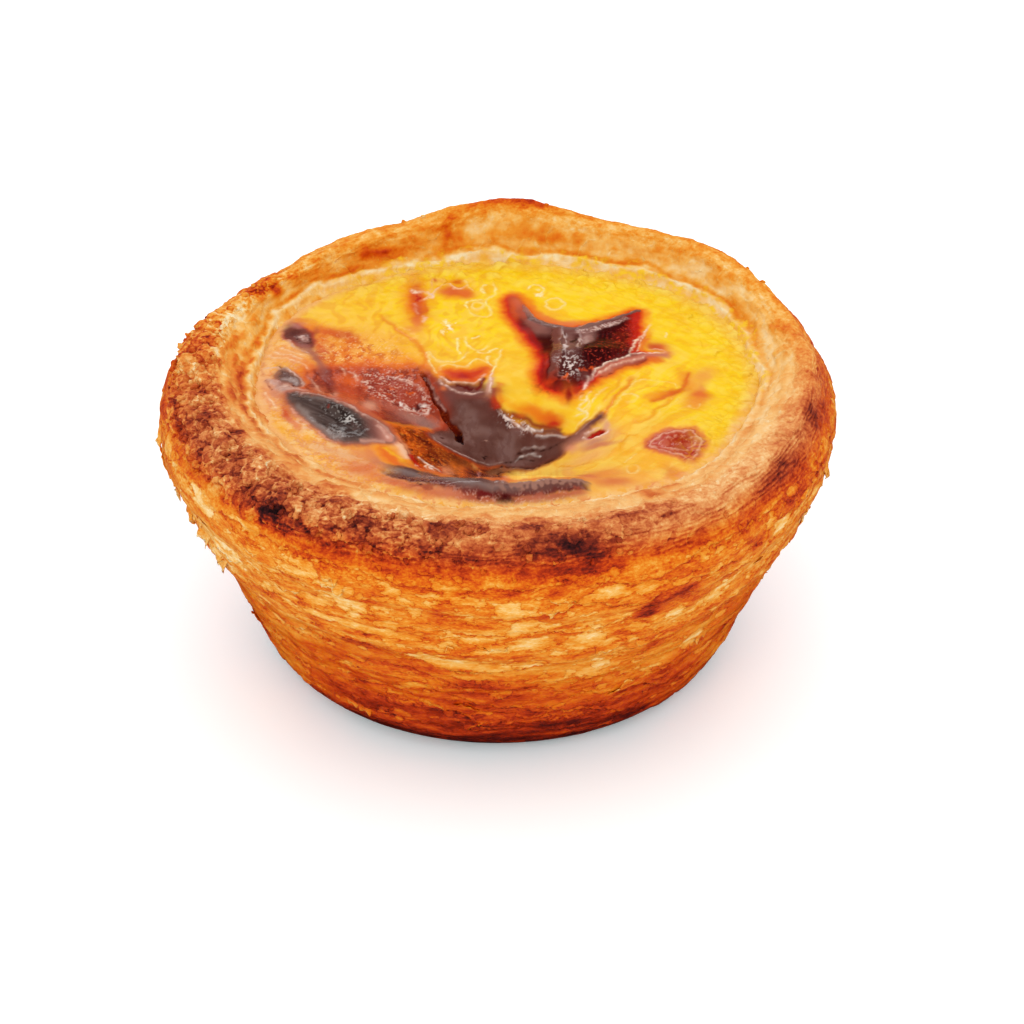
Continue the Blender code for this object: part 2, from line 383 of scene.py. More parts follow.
# The same out of the first view: (s, tilt, phase, wobble, step out, reach above, how much of the way round)
SHEETS = [
    (3.6, 0.5, 0.3, 0.3, 0.18, 1.2, 0.75), (6.9, 0.7, 4.1, 0.4, 0.2, 1.4, 0.6), (9.7, 0.8, 0.9, 0.5, 0.24, 1.3, 0.65),
    (12.4, 0.8, 3.3, 0.5, 0.28, 1.6, 0.7), (15.2, 0.9, 1.1, 0.5, 0.26, 1.8, 0.65), (18.8, 1.3, 4.6, 0.6, 0.45, 2.4, 0.9),
    (22.0, 1.0, 2.0, 0.6, 0.32, 1.9, 0.6), (24.8, 1.1, 3.0, 0.6, 0.36, 2.2, 0.7), (27.6, 0.9, 4.2, 0.6, 0.30, 2.0, 0.65),
    (30.3, 0.8, 1.6, 0.5, 0.28, 1.7, 0.65), (32.8, 0.6, 2.9, 0.5, 0.24, 1.4, 0.55),
]
# Browner (+) and paler (-) places: bearing, s, half widths, amount
BROWNER = [
    (-98, 39.0, 26, 1.5, 0.09), (-56, 37.2, 7, 1.2, 0.10), (-76, 36.3, 5.0, 1.4, 0.16),
    (-112, 35.6, 28, 1.8, 0.13), (-120, 38.4, 14, 1.6, 0.10), (-150, 41.6, 12, 1.2, -0.09), (-55, 35.0, 11, 1.0, 0.12), (-28, 37.4, 8, 1.0, -0.08), (20, 44.0, 14, 1.6, -0.09), (48, 43.4, 16, 2.0, -0.10),
    (112, 40.4, 14, 1.3, 0.13), (108, 42.0, 6, 1.0, 0.08), (112, 44.6, 12, 0.9, -0.10), (140, 39.8, 12, 1.2, 0.18), (166, 44.2, 12, 1.2, -0.12), (80, 45.4, 60, 1.2, -0.05), (-80, 17.6, 20, 1.6, -0.05),
    (-146, 7.0, 13, 5.0, -0.20), (-146, 22.0, 13, 9.0, -0.13), (-146, 31.0, 10, 3.0, -0.10), (-28, 7.0, 14, 4.5, -0.22), (-20, 36.0, 12, 2.6, -0.16),
    (-40, 27.0, 12, 3.5, -0.10), (160, 41.6, 18, 2.4, -0.17), (-90, 35.6, 30, 1.2, -0.06),
    (-132.5, 36.6, 3.4, 1.0, 0.55), (-129, 35.0, 2.0, 0.7, 0.35), (-108, 35.0, 8, 1.0, 0.14), (-77, 36.8, 5.0, 1.4, 0.34), (-73, 36.0, 3.0, 0.9, 0.2),
    (-83, 39.6, 4.0, 0.8, 0.36), (-95, 39.4, 5.5, 1.0, 0.18), (-97, 36.0, 9, 1.0, 0.14), (-24, 36.2, 9.0, 1.7, 0.30), (-30, 37.0, 5, 0.8, 0.12),
    (-13, 37.6, 3.0, 1.6, 0.34), (-63, 27.7, 2.6, 1.9, 0.46), (-57, 29.0, 3.2, 1.5, 0.34), (-53, 27.0, 3.0, 1.6, 0.2), (-40, 30.6, 2.2, 0.6, 0.4),
    (-46, 30.0, 5, 0.6, 0.2), (-30, 31.6, 2.5, 0.7, 0.34), (-24, 32.8, 10, 0.5, 0.24), (-78, 33.8, 7.0, 1.3, 0.18), (-98, 28.4, 3, 1.0, 0.14), (-95.5, 23.2, 2.2, 0.6, 0.14),
    (-37.5, 24.0, 2.6, 1.2, 0.24), (-44, 27.6, 6, 1.6, 0.14), (-58, 19.4, 5, 1.4, 0.12), (-115, 20.6, 5, 1.2, 0.16), (-116, 21.4, 3, 0.5, 0.14), (-108, 18.0, 6, 1.2, 0.10),
    (-86, 13.0, 6, 1.8, 0.12), (-95, 15.6, 5, 1.2, 0.14), (-141, 30.2, 5, 0.6, 0.26), (-124.5, 22.6, 2.0, 0.9, 0.24), (-137, 24.3, 8, 1.0, 0.16), (-145, 21.4, 10, 1.4, 0.14),
    (-158, 39.0, 16, 2.6, 0.10), (-164, 38.6, 4, 1.0, 0.22), (-157, 40.8, 2.0, 0.8, 0.3), (-145, 41.4, 3.5, 0.7, 0.22), (-131, 40.8, 4, 0.7, 0.2), (-140, 38.8, 10, 1.2, 0.05),
    (-176, 39.6, 4, 0.8, 0.22), (-174, 36.8, 8, 1.2, 0.08), (-100, 4.0, 24, 0.9, 0.16), (-90, 7.6, 26, 2.2, 0.04), (-75, 6.6, 12, 1.2, 0.08),
    (143, 41.6, 1.5, 1.9, 0.58), (146, 40.2, 2.6, 1.6, 0.26), (114, 43.2, 5.0, 1.2, 0.30), (119, 42.6, 4.0, 1.6, 0.2), (100, 42.8, 2.6, 1.6, 0.30), (79, 43.0, 5.0, 1.1, 0.22),
    (70, 43.2, 5, 0.9, 0.12), (123, 44.2, 3.0, 0.7, 0.24), (131, 43.2, 4, 1.6, 0.14), (137, 41.6, 3, 1.6, 0.16), (86, 39.2, 9.0, 0.8, 0.30), (84, 38.6, 4, 0.7, 0.2), (60, 40.2, 12, 0.9, 0.10),
    (94, 40.6, 5, 0.9, 0.1), (155, 42.0, 5, 1.6, 0.12), (167, 43.0, 6, 1.4, 0.24), (178, 44.0, 10, 1.6, 0.16), (172, 39.4, 9, 1.2, 0.22), (33, 44.4, 8, 0.6, 0.14), (25, 44.2, 7, 0.6, 0.12),
    (16, 40.6, 3, 1.0, 0.2), (8, 41.6, 3, 0.8, 0.12), (-8, 35.6, 7, 1.8, 0.14), (-55, 43.2, 2.2, 1.0, 0.3), (-49, 44.4, 3.0, 0.9, 0.22), (-85, 41.4, 4, 0.7, 0.12), (-64, 39.6, 5, 0.6, 0.22), (-58, 38.4, 3, 0.5, 0.26),
    (-70, 40.6, 3, 0.5, 0.12), (40, 37.5, 30, 1.6, 0.08), (0, 28.0, 12, 2.4, 0.12), (30, 26.0, 8, 2.0, 0.14), (75, 29.0, 9, 2.0, 0.16), (110, 27.0, 8, 1.6, 0.14), (150, 28.5, 10, 2.2, 0.14), (60, 22.0, 10, 2, 0.1), (135, 21.0, 9, 2, 0.1),
    (-66, 34.2, 9, 1.2, -0.06), (-52, 36.4, 13, 1.8, -0.16), (-45, 38.9, 10, 1.8, -0.20), (-62, 36.6, 3.5, 0.9, -0.08), (-5, 42.0, 14, 1.8, -0.10), (-30, 41.5, 14, 1.6, -0.08), (-120, 42.4, 14, 0.9, -0.06),
    (-60, 14.0, 18, 3.6, -0.12), (-48, 15.4, 8, 2.4, -0.08), (-78, 16.6, 12, 1.4, -0.08), (-120, 30.8, 14, 2.0, -0.05), (-150, 26.5, 12, 3.0, -0.05), (-84, 18.6, 14, 1.2, -0.10), (-66, 18.0, 9, 1.6, -0.08),
    (-127, 34.0, 8, 0.9, -0.14), (-145, 33.8, 8, 0.9, -0.12), (-152, 33.0, 4, 0.7, -0.14), (-163, 33.6, 8, 0.9, -0.08),
]
# Places where the topmost sheet has come away and the pale one beneath shows: bearing, s, half widths, amount
PALE = [
    (-123, 27.0, 4.0, 0.8, 1.0), (-119, 24.7, 8.0, 0.75, 1.2), (-109, 24.3, 6.0, 0.7, 1.2), (-130, 25.7, 5.0, 0.7, 0.9), (-104, 28.9, 1.8, 0.8, 1.0), (-98.5, 23.4, 2.2, 0.9, 1.0), (-93.5, 24.6, 4.2, 0.8, 1.0),
    (-88.5, 29.3, 3.2, 0.8, 1.0), (-86, 26.4, 2.8, 0.8, 1.0), (-84, 23.9, 4.6, 1.3, 1.2), (-74, 23.8, 3.4, 1.4, 1.1), (-70, 22.6, 2.4, 1.0, 1.0), (-71, 31.3, 4.4, 0.8, 1.1), (-65, 31.2, 3.2, 0.8, 1.0),
    (-79, 30.2, 2.2, 0.7, 0.9), (-57, 25.2, 2.4, 0.8, 1.0), (-51, 24.5, 2.2, 0.6, 0.9), (-46, 25.0, 3.4, 0.6, 0.9), (-104, 20.3, 4.4, 0.9, 1.2), (-98, 19.6, 5.4, 1.2, 1.3), (-91, 19.0, 5.0, 0.9, 1.1),
    (-69, 17.1, 2.4, 0.7, 1.0), (-46.5, 15.6, 3.2, 1.4, 1.2), (-44, 14.2, 2.6, 0.8, 0.9), (-101, 31.6, 4.0, 0.5, 0.8), (-94, 31.2, 5.0, 0.6, 0.8), (-68.5, 26.2, 1.6, 0.7, 1.0), (-119, 16.6, 2.6, 0.5, 1.0), (-122.5, 14.4, 1.8, 0.5, 1.0),
    (-79.5, 14.8, 3.0, 0.5, 0.9), (-86, 10.5, 2.0, 0.4, 0.9), (-73, 9.0, 3.4, 0.5, 1.0), (-62, 9.4, 1.6, 0.5, 0.8), (-105, 10.2, 2.4, 0.5, 1.0), (-117, 12.2, 3.6, 0.5, 1.1), (-111, 12.6, 3.2, 0.4, 1.0), (-92.8, 7.0, 1.6, 0.5, 1.0),
    (-113, 6.3, 1.3, 0.5, 0.9), (-126, 6.8, 1.6, 0.3, 0.7), (-82.6, 6.6, 1.0, 0.3, 0.8), (-135, 27.6, 3.4, 0.8, 0.7), (-142, 27.0, 3.0, 1.6, 0.7), (-150, 25.0, 3.0, 1.6, 0.6), (-152, 33.2, 2.4, 0.6, 1.0), (-146, 33.0, 1.6, 0.5, 0.8),
    (-128, 31.6, 2.0, 0.5, 0.8), (-118, 31.2, 2.0, 0.5, 0.7), (-112, 31.9, 1.5, 0.4, 0.7), (-111, 34.2, 1.2, 0.3, 0.8), (-45, 31.8, 2.0, 0.5, 0.8), (-50, 32.6, 2.0, 0.4, 0.8), (-37, 32.0, 2.0, 0.4, 0.8), (-34, 29.6, 3.0, 0.6, 0.7), (-26, 31.0, 3.0, 0.5, 0.8),
    (-40, 18.6, 4.0, 0.7, 0.7), (-88, 15.4, 2.0, 0.4, 0.6), (-96, 13.8, 2.0, 0.5, 0.8), (-90, 12.2, 1.6, 0.4, 0.6), (-56, 11.8, 2.6, 0.4, 0.6), (-54, 8.8, 2.0, 0.5, 0.7), (-132, 13.0, 3.0, 0.4, 0.6), (-140, 11.2, 3.0, 0.4, 0.6),
]


def dough(t, s):
    """Relief, browning, painted shade in the cracks, painted sheen on the rim, and finish of the case's skin at
    bearing t and distance s up the section.
    """
    deg = turn_to(np.degrees(t), 0.0)
    p, n, up = skin(t, s)
    x, y = p[:, 0], p[:, 1]

    def at(wide, tall, shift=0.0):
        return np.stack([x / wide + shift, y / wide - shift, s / tall + shift], 1)

    side = smooth(35.2, 33.6, s)                       # 1 on the side, 0 on the rim
    rim = 1 - side
    slope = smooth(CREST + 1.0, CREST + 3.4, s)         # 1 on the rim's inner slope
    upper = smooth(17.0, 22.5, s) * side
    back = smooth(-25, 30, 90 - np.abs(turn_to(deg, 90)))
    seen = smooth(-166, -150, deg) * smooth(-18, -32, deg)
    left_front = smooth(78, 40, np.abs(turn_to(deg, -163)))
    front = smooth(62, 40, np.abs(turn_to(deg, -88)))
    right = smooth(48, 30, np.abs(turn_to(deg, -22)))

    w5 = fbm(at(5.0, 2.4), 2, 3)
    w15 = fbm(at(1.9, 0.95), 2, 9)
    w04 = noise(at(0.62, 0.34), 15)
    ragged = 0.45 * w5 + 0.36 * w15
    height = np.zeros(len(s))
    away = np.full(len(s), 2.0)                        # mm above (+) or below (-) the nearest edge of a sheet
    lip = np.zeros(len(s))                             # how cream that edge is
    under = np.zeros(len(s))                           # how dark the painted shade in the crack beneath it is

    # one sheet's edge: a step out with a notch beneath, a cream lip, and dark, the painted shade in the crack beneath
    # it
    def sheet(d, here, step, reach, pale, dark):
        nonlocal height, away, lip, under
        broken = 0.35 + 0.65 * smooth(-0.25, 0.25, w15 + 0.5 * w5 + 0.2)
        rise = smooth(-0.10, 0.10, d + 0.1 * w04)
        height += step * here * rise * np.exp(-np.maximum(d, 0) / reach)
        height -= 0.09 * here * np.exp(-((d + 0.16) / 0.18) ** 2)
        nearer = (np.abs(d) < np.abs(away)) & (here > 0.12)
        away = np.where(nearer, d, away)
        lip = np.where(nearer, pale * here * broken, lip)
        under = np.where(nearer, dark * here, under)

    for k, (points, step, pale, tall, dark) in enumerate(FRONT_EDGES):
        a, b = np.array(points).T
        edge = np.interp(deg, a, b)
        here = smooth(a[0] - 1, a[0] + 9, deg) * smooth(a[-1] + 1, a[-1] - 9, deg)
        here = here * np.clip(0.85 + 0.6 * noise(np.stack([x / 7.0 + 5 * k, y / 7.0, 0 * x + k * 3.3], 1), 60 + k), 0.15, 1)
        sheet(s + ragged - edge, here, step, 1.6 + 0.8 * step, pale, dark)
    for k, (at_s, tilt, phase, wobble, step, reach, share) in enumerate(SHEETS):
        edge = at_s + tilt * np.sin(t + phase) + wobble * np.sin(3 * t + 2 * phase)
        here = np.clip(share + 0.8 * noise(np.stack([x / 9.0 + 5 * k, y / 9.0, 0 * x + k * 3.3], 1), 40 + k), 0, 1)
        here = here * here * (3 - 2 * here) * (1 - 0.85 * seen)
        sheet(s + 1.3 * ragged - edge, here, step, reach, 0.85, 0.9)
    # short torn lips between the long edges, all over the side
    short = noise(at(9.0, 3.0, 5.0), 175) + 0.5 * noise(at(3.0, 1.2, 2.0), 176)
    stack = (s + 0.9 * w5 + 0.5 * w15) / (1.25 + 0.5 * upper)
    d = (stack - np.round(stack)) * (1.25 + 0.5 * upper)
    here = smooth(0.05, 0.45, short) * (0.45 + 0.2 * (1 - upper))
    sheet(d, here * (np.abs(away) > 0.5), 0.10, 0.8, 0.75, 0.8)
    fade = smooth(0.6, 2.6, s) * side
    height *= fade
    lip *= fade
    under *= fade

    # torn patches: where an upper sheet has come away the one beneath is paler, with a lacy edge
    low = fbm(at(3.6, 1.7, 3.1), 3, 71) + 0.22 * w15
    torn = low + 0.16 * upper - 0.50 + 0.12 * noise(at(16, 7, 2.2), 81)
    low2 = fbm(at(1.7, 0.8, 6.4), 2, 91)
    flecks = low2 + 0.10 * upper - 0.66
    pale = np.zeros(len(s))
    for bd, bs, wd, ws, amount in PALE:
        pale = np.maximum(pale, amount * blob(deg, s + 0.35 * w15, bd, bs, wd, ws))
    pale = pale + 0.16 * fbm(at(1.1, 0.5, 6.4), 2, 93) - 0.48
    patch = side * smooth(1.5, 5.0, s)
    tear = np.maximum(np.maximum(torn, flecks * 0.7), pale * 0.8)
    tear = np.clip(tear, -0.5, 0.5) * patch - 0.5 * (1 - patch)
    lifted_skin = smooth(0.03, -0.05, tear)
    height += patch * (0.12 * lifted_skin - 0.05)
    height += patch * (0.22 * fbm(at(5.5, 3.0, 4.2), 2, 111) + 0.07 * w15 + 0.03 * w04)

    # the rim: broken plates of sheet edge, coarse at the left front, finer elsewhere
    coarse = np.clip(0.34 + 0.72 * left_front + 0.12 * front - 0.25 * back * (1 - left_front), 0, 1)
    warp = np.stack([noise(p / 1.4 + k, 120 + k) for k in (1, 2, 3)], 1)
    f1, f2, own, way = cells(p / 2.5 * [1, 1, 1.25] + 0.24 * warp, 7)
    g1, g2, own2, way2 = cells(p / 1.15 * [1, 1, 1.2] + 0.4 * warp, 8)
    turn = np.stack([np.cos(t + 6 * own), np.sin(t + 6 * own), -1.3 + 0 * t], 1)
    lean = (way * turn).sum(1)
    seam = smooth(0.16, 0.02, f2 - f1)
    seam2 = smooth(0.20, 0.03, g2 - g1)
    lifted = smooth(0.05, 0.5, lean)
    plate = 0.26 * np.clip(lean, -0.7, 0.7) + 0.32 * (own - 0.5)
    plate2 = 0.13 * (own2 - 0.5) + 0.07 * smooth(0.7, 0.0, g1)
    stack = s / 0.52 + 0.9 * noise(at(5.0, 2.5, 4.0), 161) + 0.35 * noise(at(1.2, 0.8, 5.0), 163)
    lines = 0.5 + 0.5 * np.cos(math.tau * stack)
    lined = np.clip(0.75 * front * smooth(34.2, 35.0, s) * smooth(39.0, 37.6, s) + right * smooth(33.6, 34.6, s) * smooth(39.6, 38.2, s), 0, 1)
    lined = lined * smooth(-0.35, 0.15, noise(at(4.0, 1.4, 7.7), 165))
    rough_rim = rim * (1 - slope) * smooth(0.0, 1.2, s - 33.6)
    height += rough_rim * (coarse * (plate + plate2 - 0.11 * seam - 0.05 * seam2) + 0.08 * w15 + 0.03 * w04)
    height += rim * (1 - coarse) * (0.10 * fbm(at(2.2, 1.4, 2.0), 3, 145) + 0.03 * w04)
    height += 0.10 * lined * lines
    height += rim * 0.34 * fbm(at(6.5, 5.0, 1.0), 2, 147)
    # its inner slope, drawn up in folds, with ledges of pastry along the custard
    inner = smooth(CREST + 0.2, CREST + 2.4, s)
    drawn = fbm(at(1.1, 5.0, 8.0), 3, 149)
    lumpy = fbm(at(2.6, 1.5, 4.0), 3, 173)
    ledge = s - 45.4 + 0.9 * noise(at(5.0, 9.0, 2.0), 177) + 0.35 * w15
    fold_line = ridged(at(2.2, 3.2, 6.6), 2, 179)
    height += inner * (0.24 * lumpy + 0.14 * drawn + 0.16 * smooth(0.72, 0.95, fold_line) + 0.30 * np.exp(-((ledge / 0.42) ** 2)))

    # browning, read up the section and then by bearing
    brown = np.interp(s, [0.5, 2.2, 3.4, 5.0, 7.0, 9.0, 12.0, 15.0, 18.0, 20.5, 22.5, 25.0, 28.0, 31.0, 33.0, 34.2, 35.6, 37.2, 38.6, 39.8, 41.2, 42.6, 44.0, 46.0, 48.5],
                      [0.96, 0.92, 0.84, 0.75, 0.71, 0.67, 0.59, 0.53, 0.50, 0.46, 0.42, 0.41, 0.41, 0.42, 0.46, 0.56, 0.60, 0.53, 0.47, 0.40, 0.29, 0.21, 0.16, 0.14, 0.16])
    brown += back * np.interp(s, [30.0, 34.0, 36.0, 38.0, 39.5, 41.0, 43.0, 45.0, 48.0], [0.04, -0.04, -0.10, -0.15, -0.19, -0.15, -0.03, -0.03, -0.04])
    for bd, bs, wd, ws, amount in BROWNER:
        brown += amount * blob(deg, s + 0.25 * w15 * (bs < 35), bd, bs, wd, ws)
    broad = fbm(at(5.0, 2.0, 11.0), 3, 151)
    bands = fbm(at(9.0, 0.9, 3.0), 2, 157)
    blotch = fbm(at(3.4, 1.1, 9.0), 3, 183)
    brown += (0.10 + 0.05 * rim * (1 - slope)) * broad + side * (0.07 * w15 + 0.13 * bands * (1 - 0.4 * upper) + (0.06 + 0.07 * upper) * blotch)
    # the rim's broken plates: their own random tone, with sunk seams painted darker as shade and lifted seams painted
    # paler as light
    brown += rough_rim * coarse * (-0.03 + 0.13 * (own - 0.5) + 0.08 * (own2 - 0.5) - 0.20 * seam * lifted + 0.14 * seam * (1 - lifted) + 0.04 * seam2)
    brown += rough_rim * 0.10 * fbm(at(1.3, 0.7, 3.0), 3, 153)
    brown -= lined * (0.22 * lines - 0.12)
    orange = smooth(-45, 20, 90 - np.abs(turn_to(deg, 118)))
    brown += inner * (0.08 + 0.04 * orange) * (drawn + 0.8 * lumpy) + inner * 0.05 * orange - inner * 0.10 * smooth(0.72, 0.95, fold_line)
    brown += inner * (0.16 * np.exp(-(((ledge + 0.75) / 0.5) ** 2)) - 0.12 * np.exp(-((ledge / 0.4) ** 2))) * (0.5 + orange)
    brown += inner * smooth(62, 30, np.abs(turn_to(deg, -160))) * (0.10 * smooth(0.0, 0.4, lumpy) + 0.04)
    egg = smooth(44.6, 46.6, s + 1.6 * drawn + 1.2 * w15 + 0.8 * lumpy) * smooth(86, 44, np.abs(turn_to(deg, 58))) * (0.35 + 0.65 * smooth(-0.3, 0.3, noise(at(3.0, 4.0, 3.0), 181) + 0.3))
    brown = np.where(brown > 0.92, 0.92 + (brown - 0.92) * 0.75, brown)

    # where the rim's ramp is used: drier crust, its duller pinkish browns partly painted sheen
    dry_and_sheen = rim * (1 - 0.35 * slope) * (1 - back) * smooth(33.8, 38.0, s)
    gloss = np.clip(side * (0.9 - 0.5 * upper) + 0.25 * slope, 0.0, 1)
    grain = 0.55 + 0.30 * upper + 0.25 * rough_rim * coarse - 0.36 * slope
    crumbs = rough_rim * np.clip(0.12 + 0.9 * coarse - 0.25 * right, 0, 1) * (0.45 + 0.55 * smooth(34.0, 37.5, s))
    height *= smooth(-0.1, 1.2, s) * smooth(END, END - 1.2, s)
    return p + n * np.clip(height, -0.8, 1.1)[:, None], brown, dry_and_sheen, gloss, grain, away, lip, under, tear, crumbs, egg


def grid_normals(points, closed):
    """Unit normals of a grid of points (rows, columns, 3), from its neighbours."""
    if closed:
        across = np.roll(points, -1, 1) - np.roll(points, 1, 1)
    else:
        across = np.gradient(points, axis=1)
    along = np.gradient(points, axis=0)
    n = np.cross(across, along)
    return n / np.maximum(1e-12, np.linalg.norm(n, axis=2, keepdims=True))


def make_mesh(name, verts, faces, material, values, uv=None, normals=None):
    """values: name -> one number or one linear colour a point."""
    mesh = bpy.data.meshes.new(name)
    verts = np.asarray(verts, np.float64) * MM
    faces = np.asarray(faces, np.int32)
    mesh.vertices.add(len(verts))
    mesh.vertices.foreach_set("co", verts.ravel().astype(np.float32))
    k = faces.shape[1]
    mesh.loops.add(faces.size)
    mesh.loops.foreach_set("vertex_index", faces.ravel())
    mesh.polygons.add(len(faces))
    mesh.polygons.foreach_set("loop_start", np.arange(0, faces.size, k, dtype=np.int32))
    mesh.update(calc_edges=True)
    mesh.shade_smooth()
    for key, v in values.items():
        v = np.asarray(v, np.float32)
        if v.ndim == 2:
            layer = mesh.attributes.new(key, "FLOAT_COLOR", "POINT")
            layer.data.foreach_set("color", np.concatenate([v, np.ones((len(v), 1), np.float32)], 1).ravel())
        else:
            mesh.attributes.new(key, "FLOAT", "POINT").data.foreach_set("value", v)
    if uv is not None:
        mesh.uv_layers.new(name="OFBake").data.foreach_set("uv", uv.ravel().astype(np.float32))
    if normals is not None:
        mesh.normals_split_custom_set_from_vertices(np.asarray(normals, np.float32))
    mesh.materials.append(material)
    piece = bpy.data.objects.new(name, mesh)
    bpy.context.scene.collection.objects.link(piece)
    return piece


DOUGH_FIELDS = ("brown", "dry_and_sheen", "gloss", "grain", "away", "lip", "under", "tear", "crumbs", "egg")


def case_rings(bands):
    """The case's skin as rings: (name, top of the ring as s, strips its UVs are laid in, row height, material)."""
    rows = [np.array([0.0])]
    low = 0.0
    for _, high, _, row, _ in bands:
        count = max(2, int(round((high - low) / row)))
        rows.append(np.linspace(low, high, count + 1)[1:])
        low = high
    s = np.concatenate(rows)
    t = np.arange(COLUMNS) * math.tau / COLUMNS
    tt, ss = np.meshgrid(t, s)
    verts, *fields = in_parts(dough, tt.ravel(), ss.ravel())
    verts[:, 2] = np.maximum(verts[:, 2], 0.0)
    verts[:, 0] += CENTRE[0]
    verts[:, 1] += CENTRE[1]
    shape = (len(s), COLUMNS)
    points = verts.reshape(shape + (3,))
    normals = grid_normals(points, True)
    fields = [f.reshape(shape) for f in fields]
    pieces = []
    start = 0
    for (name, _, strips, _, material), part in zip(bands, rows[1:]):
        count = len(part)
        cut = slice(start, start + count + 1)
        i, j = np.meshgrid(np.arange(COLUMNS), np.arange(count))
        i, j = i.ravel(), j.ravel()
        nxt = (i + 1) % COLUMNS
        faces = np.stack([j * COLUMNS + i, j * COLUMNS + nxt, (j + 1) * COLUMNS + nxt, (j + 1) * COLUMNS + i], 1)
        per = COLUMNS // strips
        strip = i // per
        u0, u1 = (i - strip * per) / per, (i - strip * per + 1) / per
        v0, v1 = j / count, (j + 1) / count

        def fit(u, v):
            return np.stack([0.004 + u * 0.992, (strip + 0.03 + v * 0.94) / strips], 1)

        uv = np.stack([fit(u0, v0), fit(u1, v0), fit(u1, v1), fit(u0, v1)], 1)
        values = dict(zip(DOUGH_FIELDS, (f[cut].ravel() for f in fields)))
        pieces.append(make_mesh(name, points[cut].reshape(-1, 3), faces, material, values, uv, normals[cut].reshape(-1, 3)))
        start += count
    return pieces


# ---------------------------------------------------------------- materials

def nodes_of(name):
    mat = bpy.data.materials.new(name)
    mat.use_nodes = True
    tree = mat.node_tree
    return mat, tree, tree.nodes["Principled BSDF"]


def add(tree, kind, **values):
    node = tree.nodes.new(kind)
    for key, value in values.items():
        setattr(node, key, value)
    return node


def attribute(tree, name):
    return add(tree, "ShaderNodeAttribute", attribute_name=name, attribute_type="GEOMETRY")


def grain(tree, scale, detail, stretch=(1, 1, 1), distortion=0.0, rough=0.55):
    where = add(tree, "ShaderNodeTexCoord")
    mapping = add(tree, "ShaderNodeMapping")
    mapping.inputs["Scale"].default_value = stretch
    tex = add(tree, "ShaderNodeTexNoise")
    tex.inputs["Scale"].default_value = scale
    tex.inputs["Detail"].default_value = detail
    tex.inputs["Roughness"].default_value = rough
    tex.inputs["Distortion"].default_value = distortion
    tree.links.new(where.outputs["Object"], mapping.inputs["Vector"])
    tree.links.new(mapping.outputs["Vector"], tex.inputs["Vector"])
    return tex.outputs["Fac"]


def remap(tree, value, a, b, c, d):
    node = add(tree, "ShaderNodeMapRange")
    for key, v in zip(("From Min", "From Max", "To Min", "To Max"), (a, b, c, d)):
        node.inputs[key].default_value = v
    tree.links.new(value, node.inputs["Value"])
    return node.outputs["Result"]


def maths(tree, how, a, b):
    node = add(tree, "ShaderNodeMath", operation=how)
    for k, v in enumerate((a, b)):
        if isinstance(v, (int, float)):
            node.inputs[k].default_value = v
        else:
            tree.links.new(v, node.inputs[k])
    return node.outputs["Value"]


def mix_colour(tree, mode, fac, a, b):
    node = add(tree, "ShaderNodeMix", data_type="RGBA", blend_type=mode)
    for key, v in (("Factor", fac), ("A", a), ("B", b)):
        if isinstance(v, (float, tuple)):
            node.inputs[key].default_value = v
        else:
            tree.links.new(v, node.inputs[key])
    return node.outputs["Result"]


def bump(tree, shader, layers):
    """layers: (height output, distance in mm, strength)"""
    last = None
    for height, distance, strength in layers:
        node = add(tree, "ShaderNodeBump")
        node.inputs["Distance"].default_value = distance * MM
        node.inputs["Strength"].default_value = strength
        tree.links.new(height, node.inputs["Height"])
        if last is not None:
            tree.links.new(last, node.inputs["Normal"])
        last = node.outputs["Normal"]
    tree.links.new(last, shader.inputs["Normal"])
    return last


def browning(tree, level, stops):
    """Colour ramp over browning levels -0.15 to 1.25, in the colours that the painted stops name."""
    node = add(tree, "ShaderNodeValToRGB")
    ramp = node.color_ramp
    while len(ramp.elements) > 1:
        ramp.elements.remove(ramp.elements[-1])
    for k, (v, c) in enumerate(stops):
        place = (v + 0.15) / 1.40
        element = ramp.elements[0] if k == 0 else ramp.elements.new(place)
        element.position = place
        element.color = (*(linear(c) / LIGHT), 1.0)
    tree.links.new(remap(tree, level, -0.15, 1.25, 0.0, 1.0), node.inputs["Fac"])
    return node.outputs["Color"]


def step(tree, value, low, high):
    node = add(tree, "ShaderNodeMapRange", interpolation_type="SMOOTHSTEP")
    for key, v in zip(("From Min", "From Max", "To Min", "To Max"), (low, high, 0.0, 1.0)):
        node.inputs[key].default_value = v
    tree.links.new(value, node.inputs["Value"])
    return node.outputs["Result"]


def crumb_cells(tree, scale, warp):
    """Broken plates: a random number for each, and the distance to its edge."""
    where = add(tree, "ShaderNodeTexCoord")
    bent = add(tree, "ShaderNodeTexNoise")
    bent.inputs["Scale"].default_value = scale * 1.1
    bent.inputs["Detail"].default_value = 2
    tree.links.new(where.outputs["Object"], bent.inputs["Vector"])
    shift = add(tree, "ShaderNodeVectorMath", operation="MULTIPLY_ADD")
    tree.links.new(bent.outputs["Color"], shift.inputs[0])
    shift.inputs[1].default_value = (warp / scale,) * 3
    tree.links.new(where.outputs["Object"], shift.inputs[2])
    outs = []
    for feature in ("F1", "DISTANCE_TO_EDGE"):
        cell = add(tree, "ShaderNodeTexVoronoi", feature=feature)
        cell.inputs["Scale"].default_value = scale
        tree.links.new(shift.outputs["Vector"], cell.inputs["Vector"])
        outs.append(cell.outputs["Color"] if feature == "F1" else cell.outputs["Distance"])
    apart = add(tree, "ShaderNodeSeparateColor")
    tree.links.new(outs[0], apart.inputs["Color"])
    return apart.outputs["Red"], outs[1]


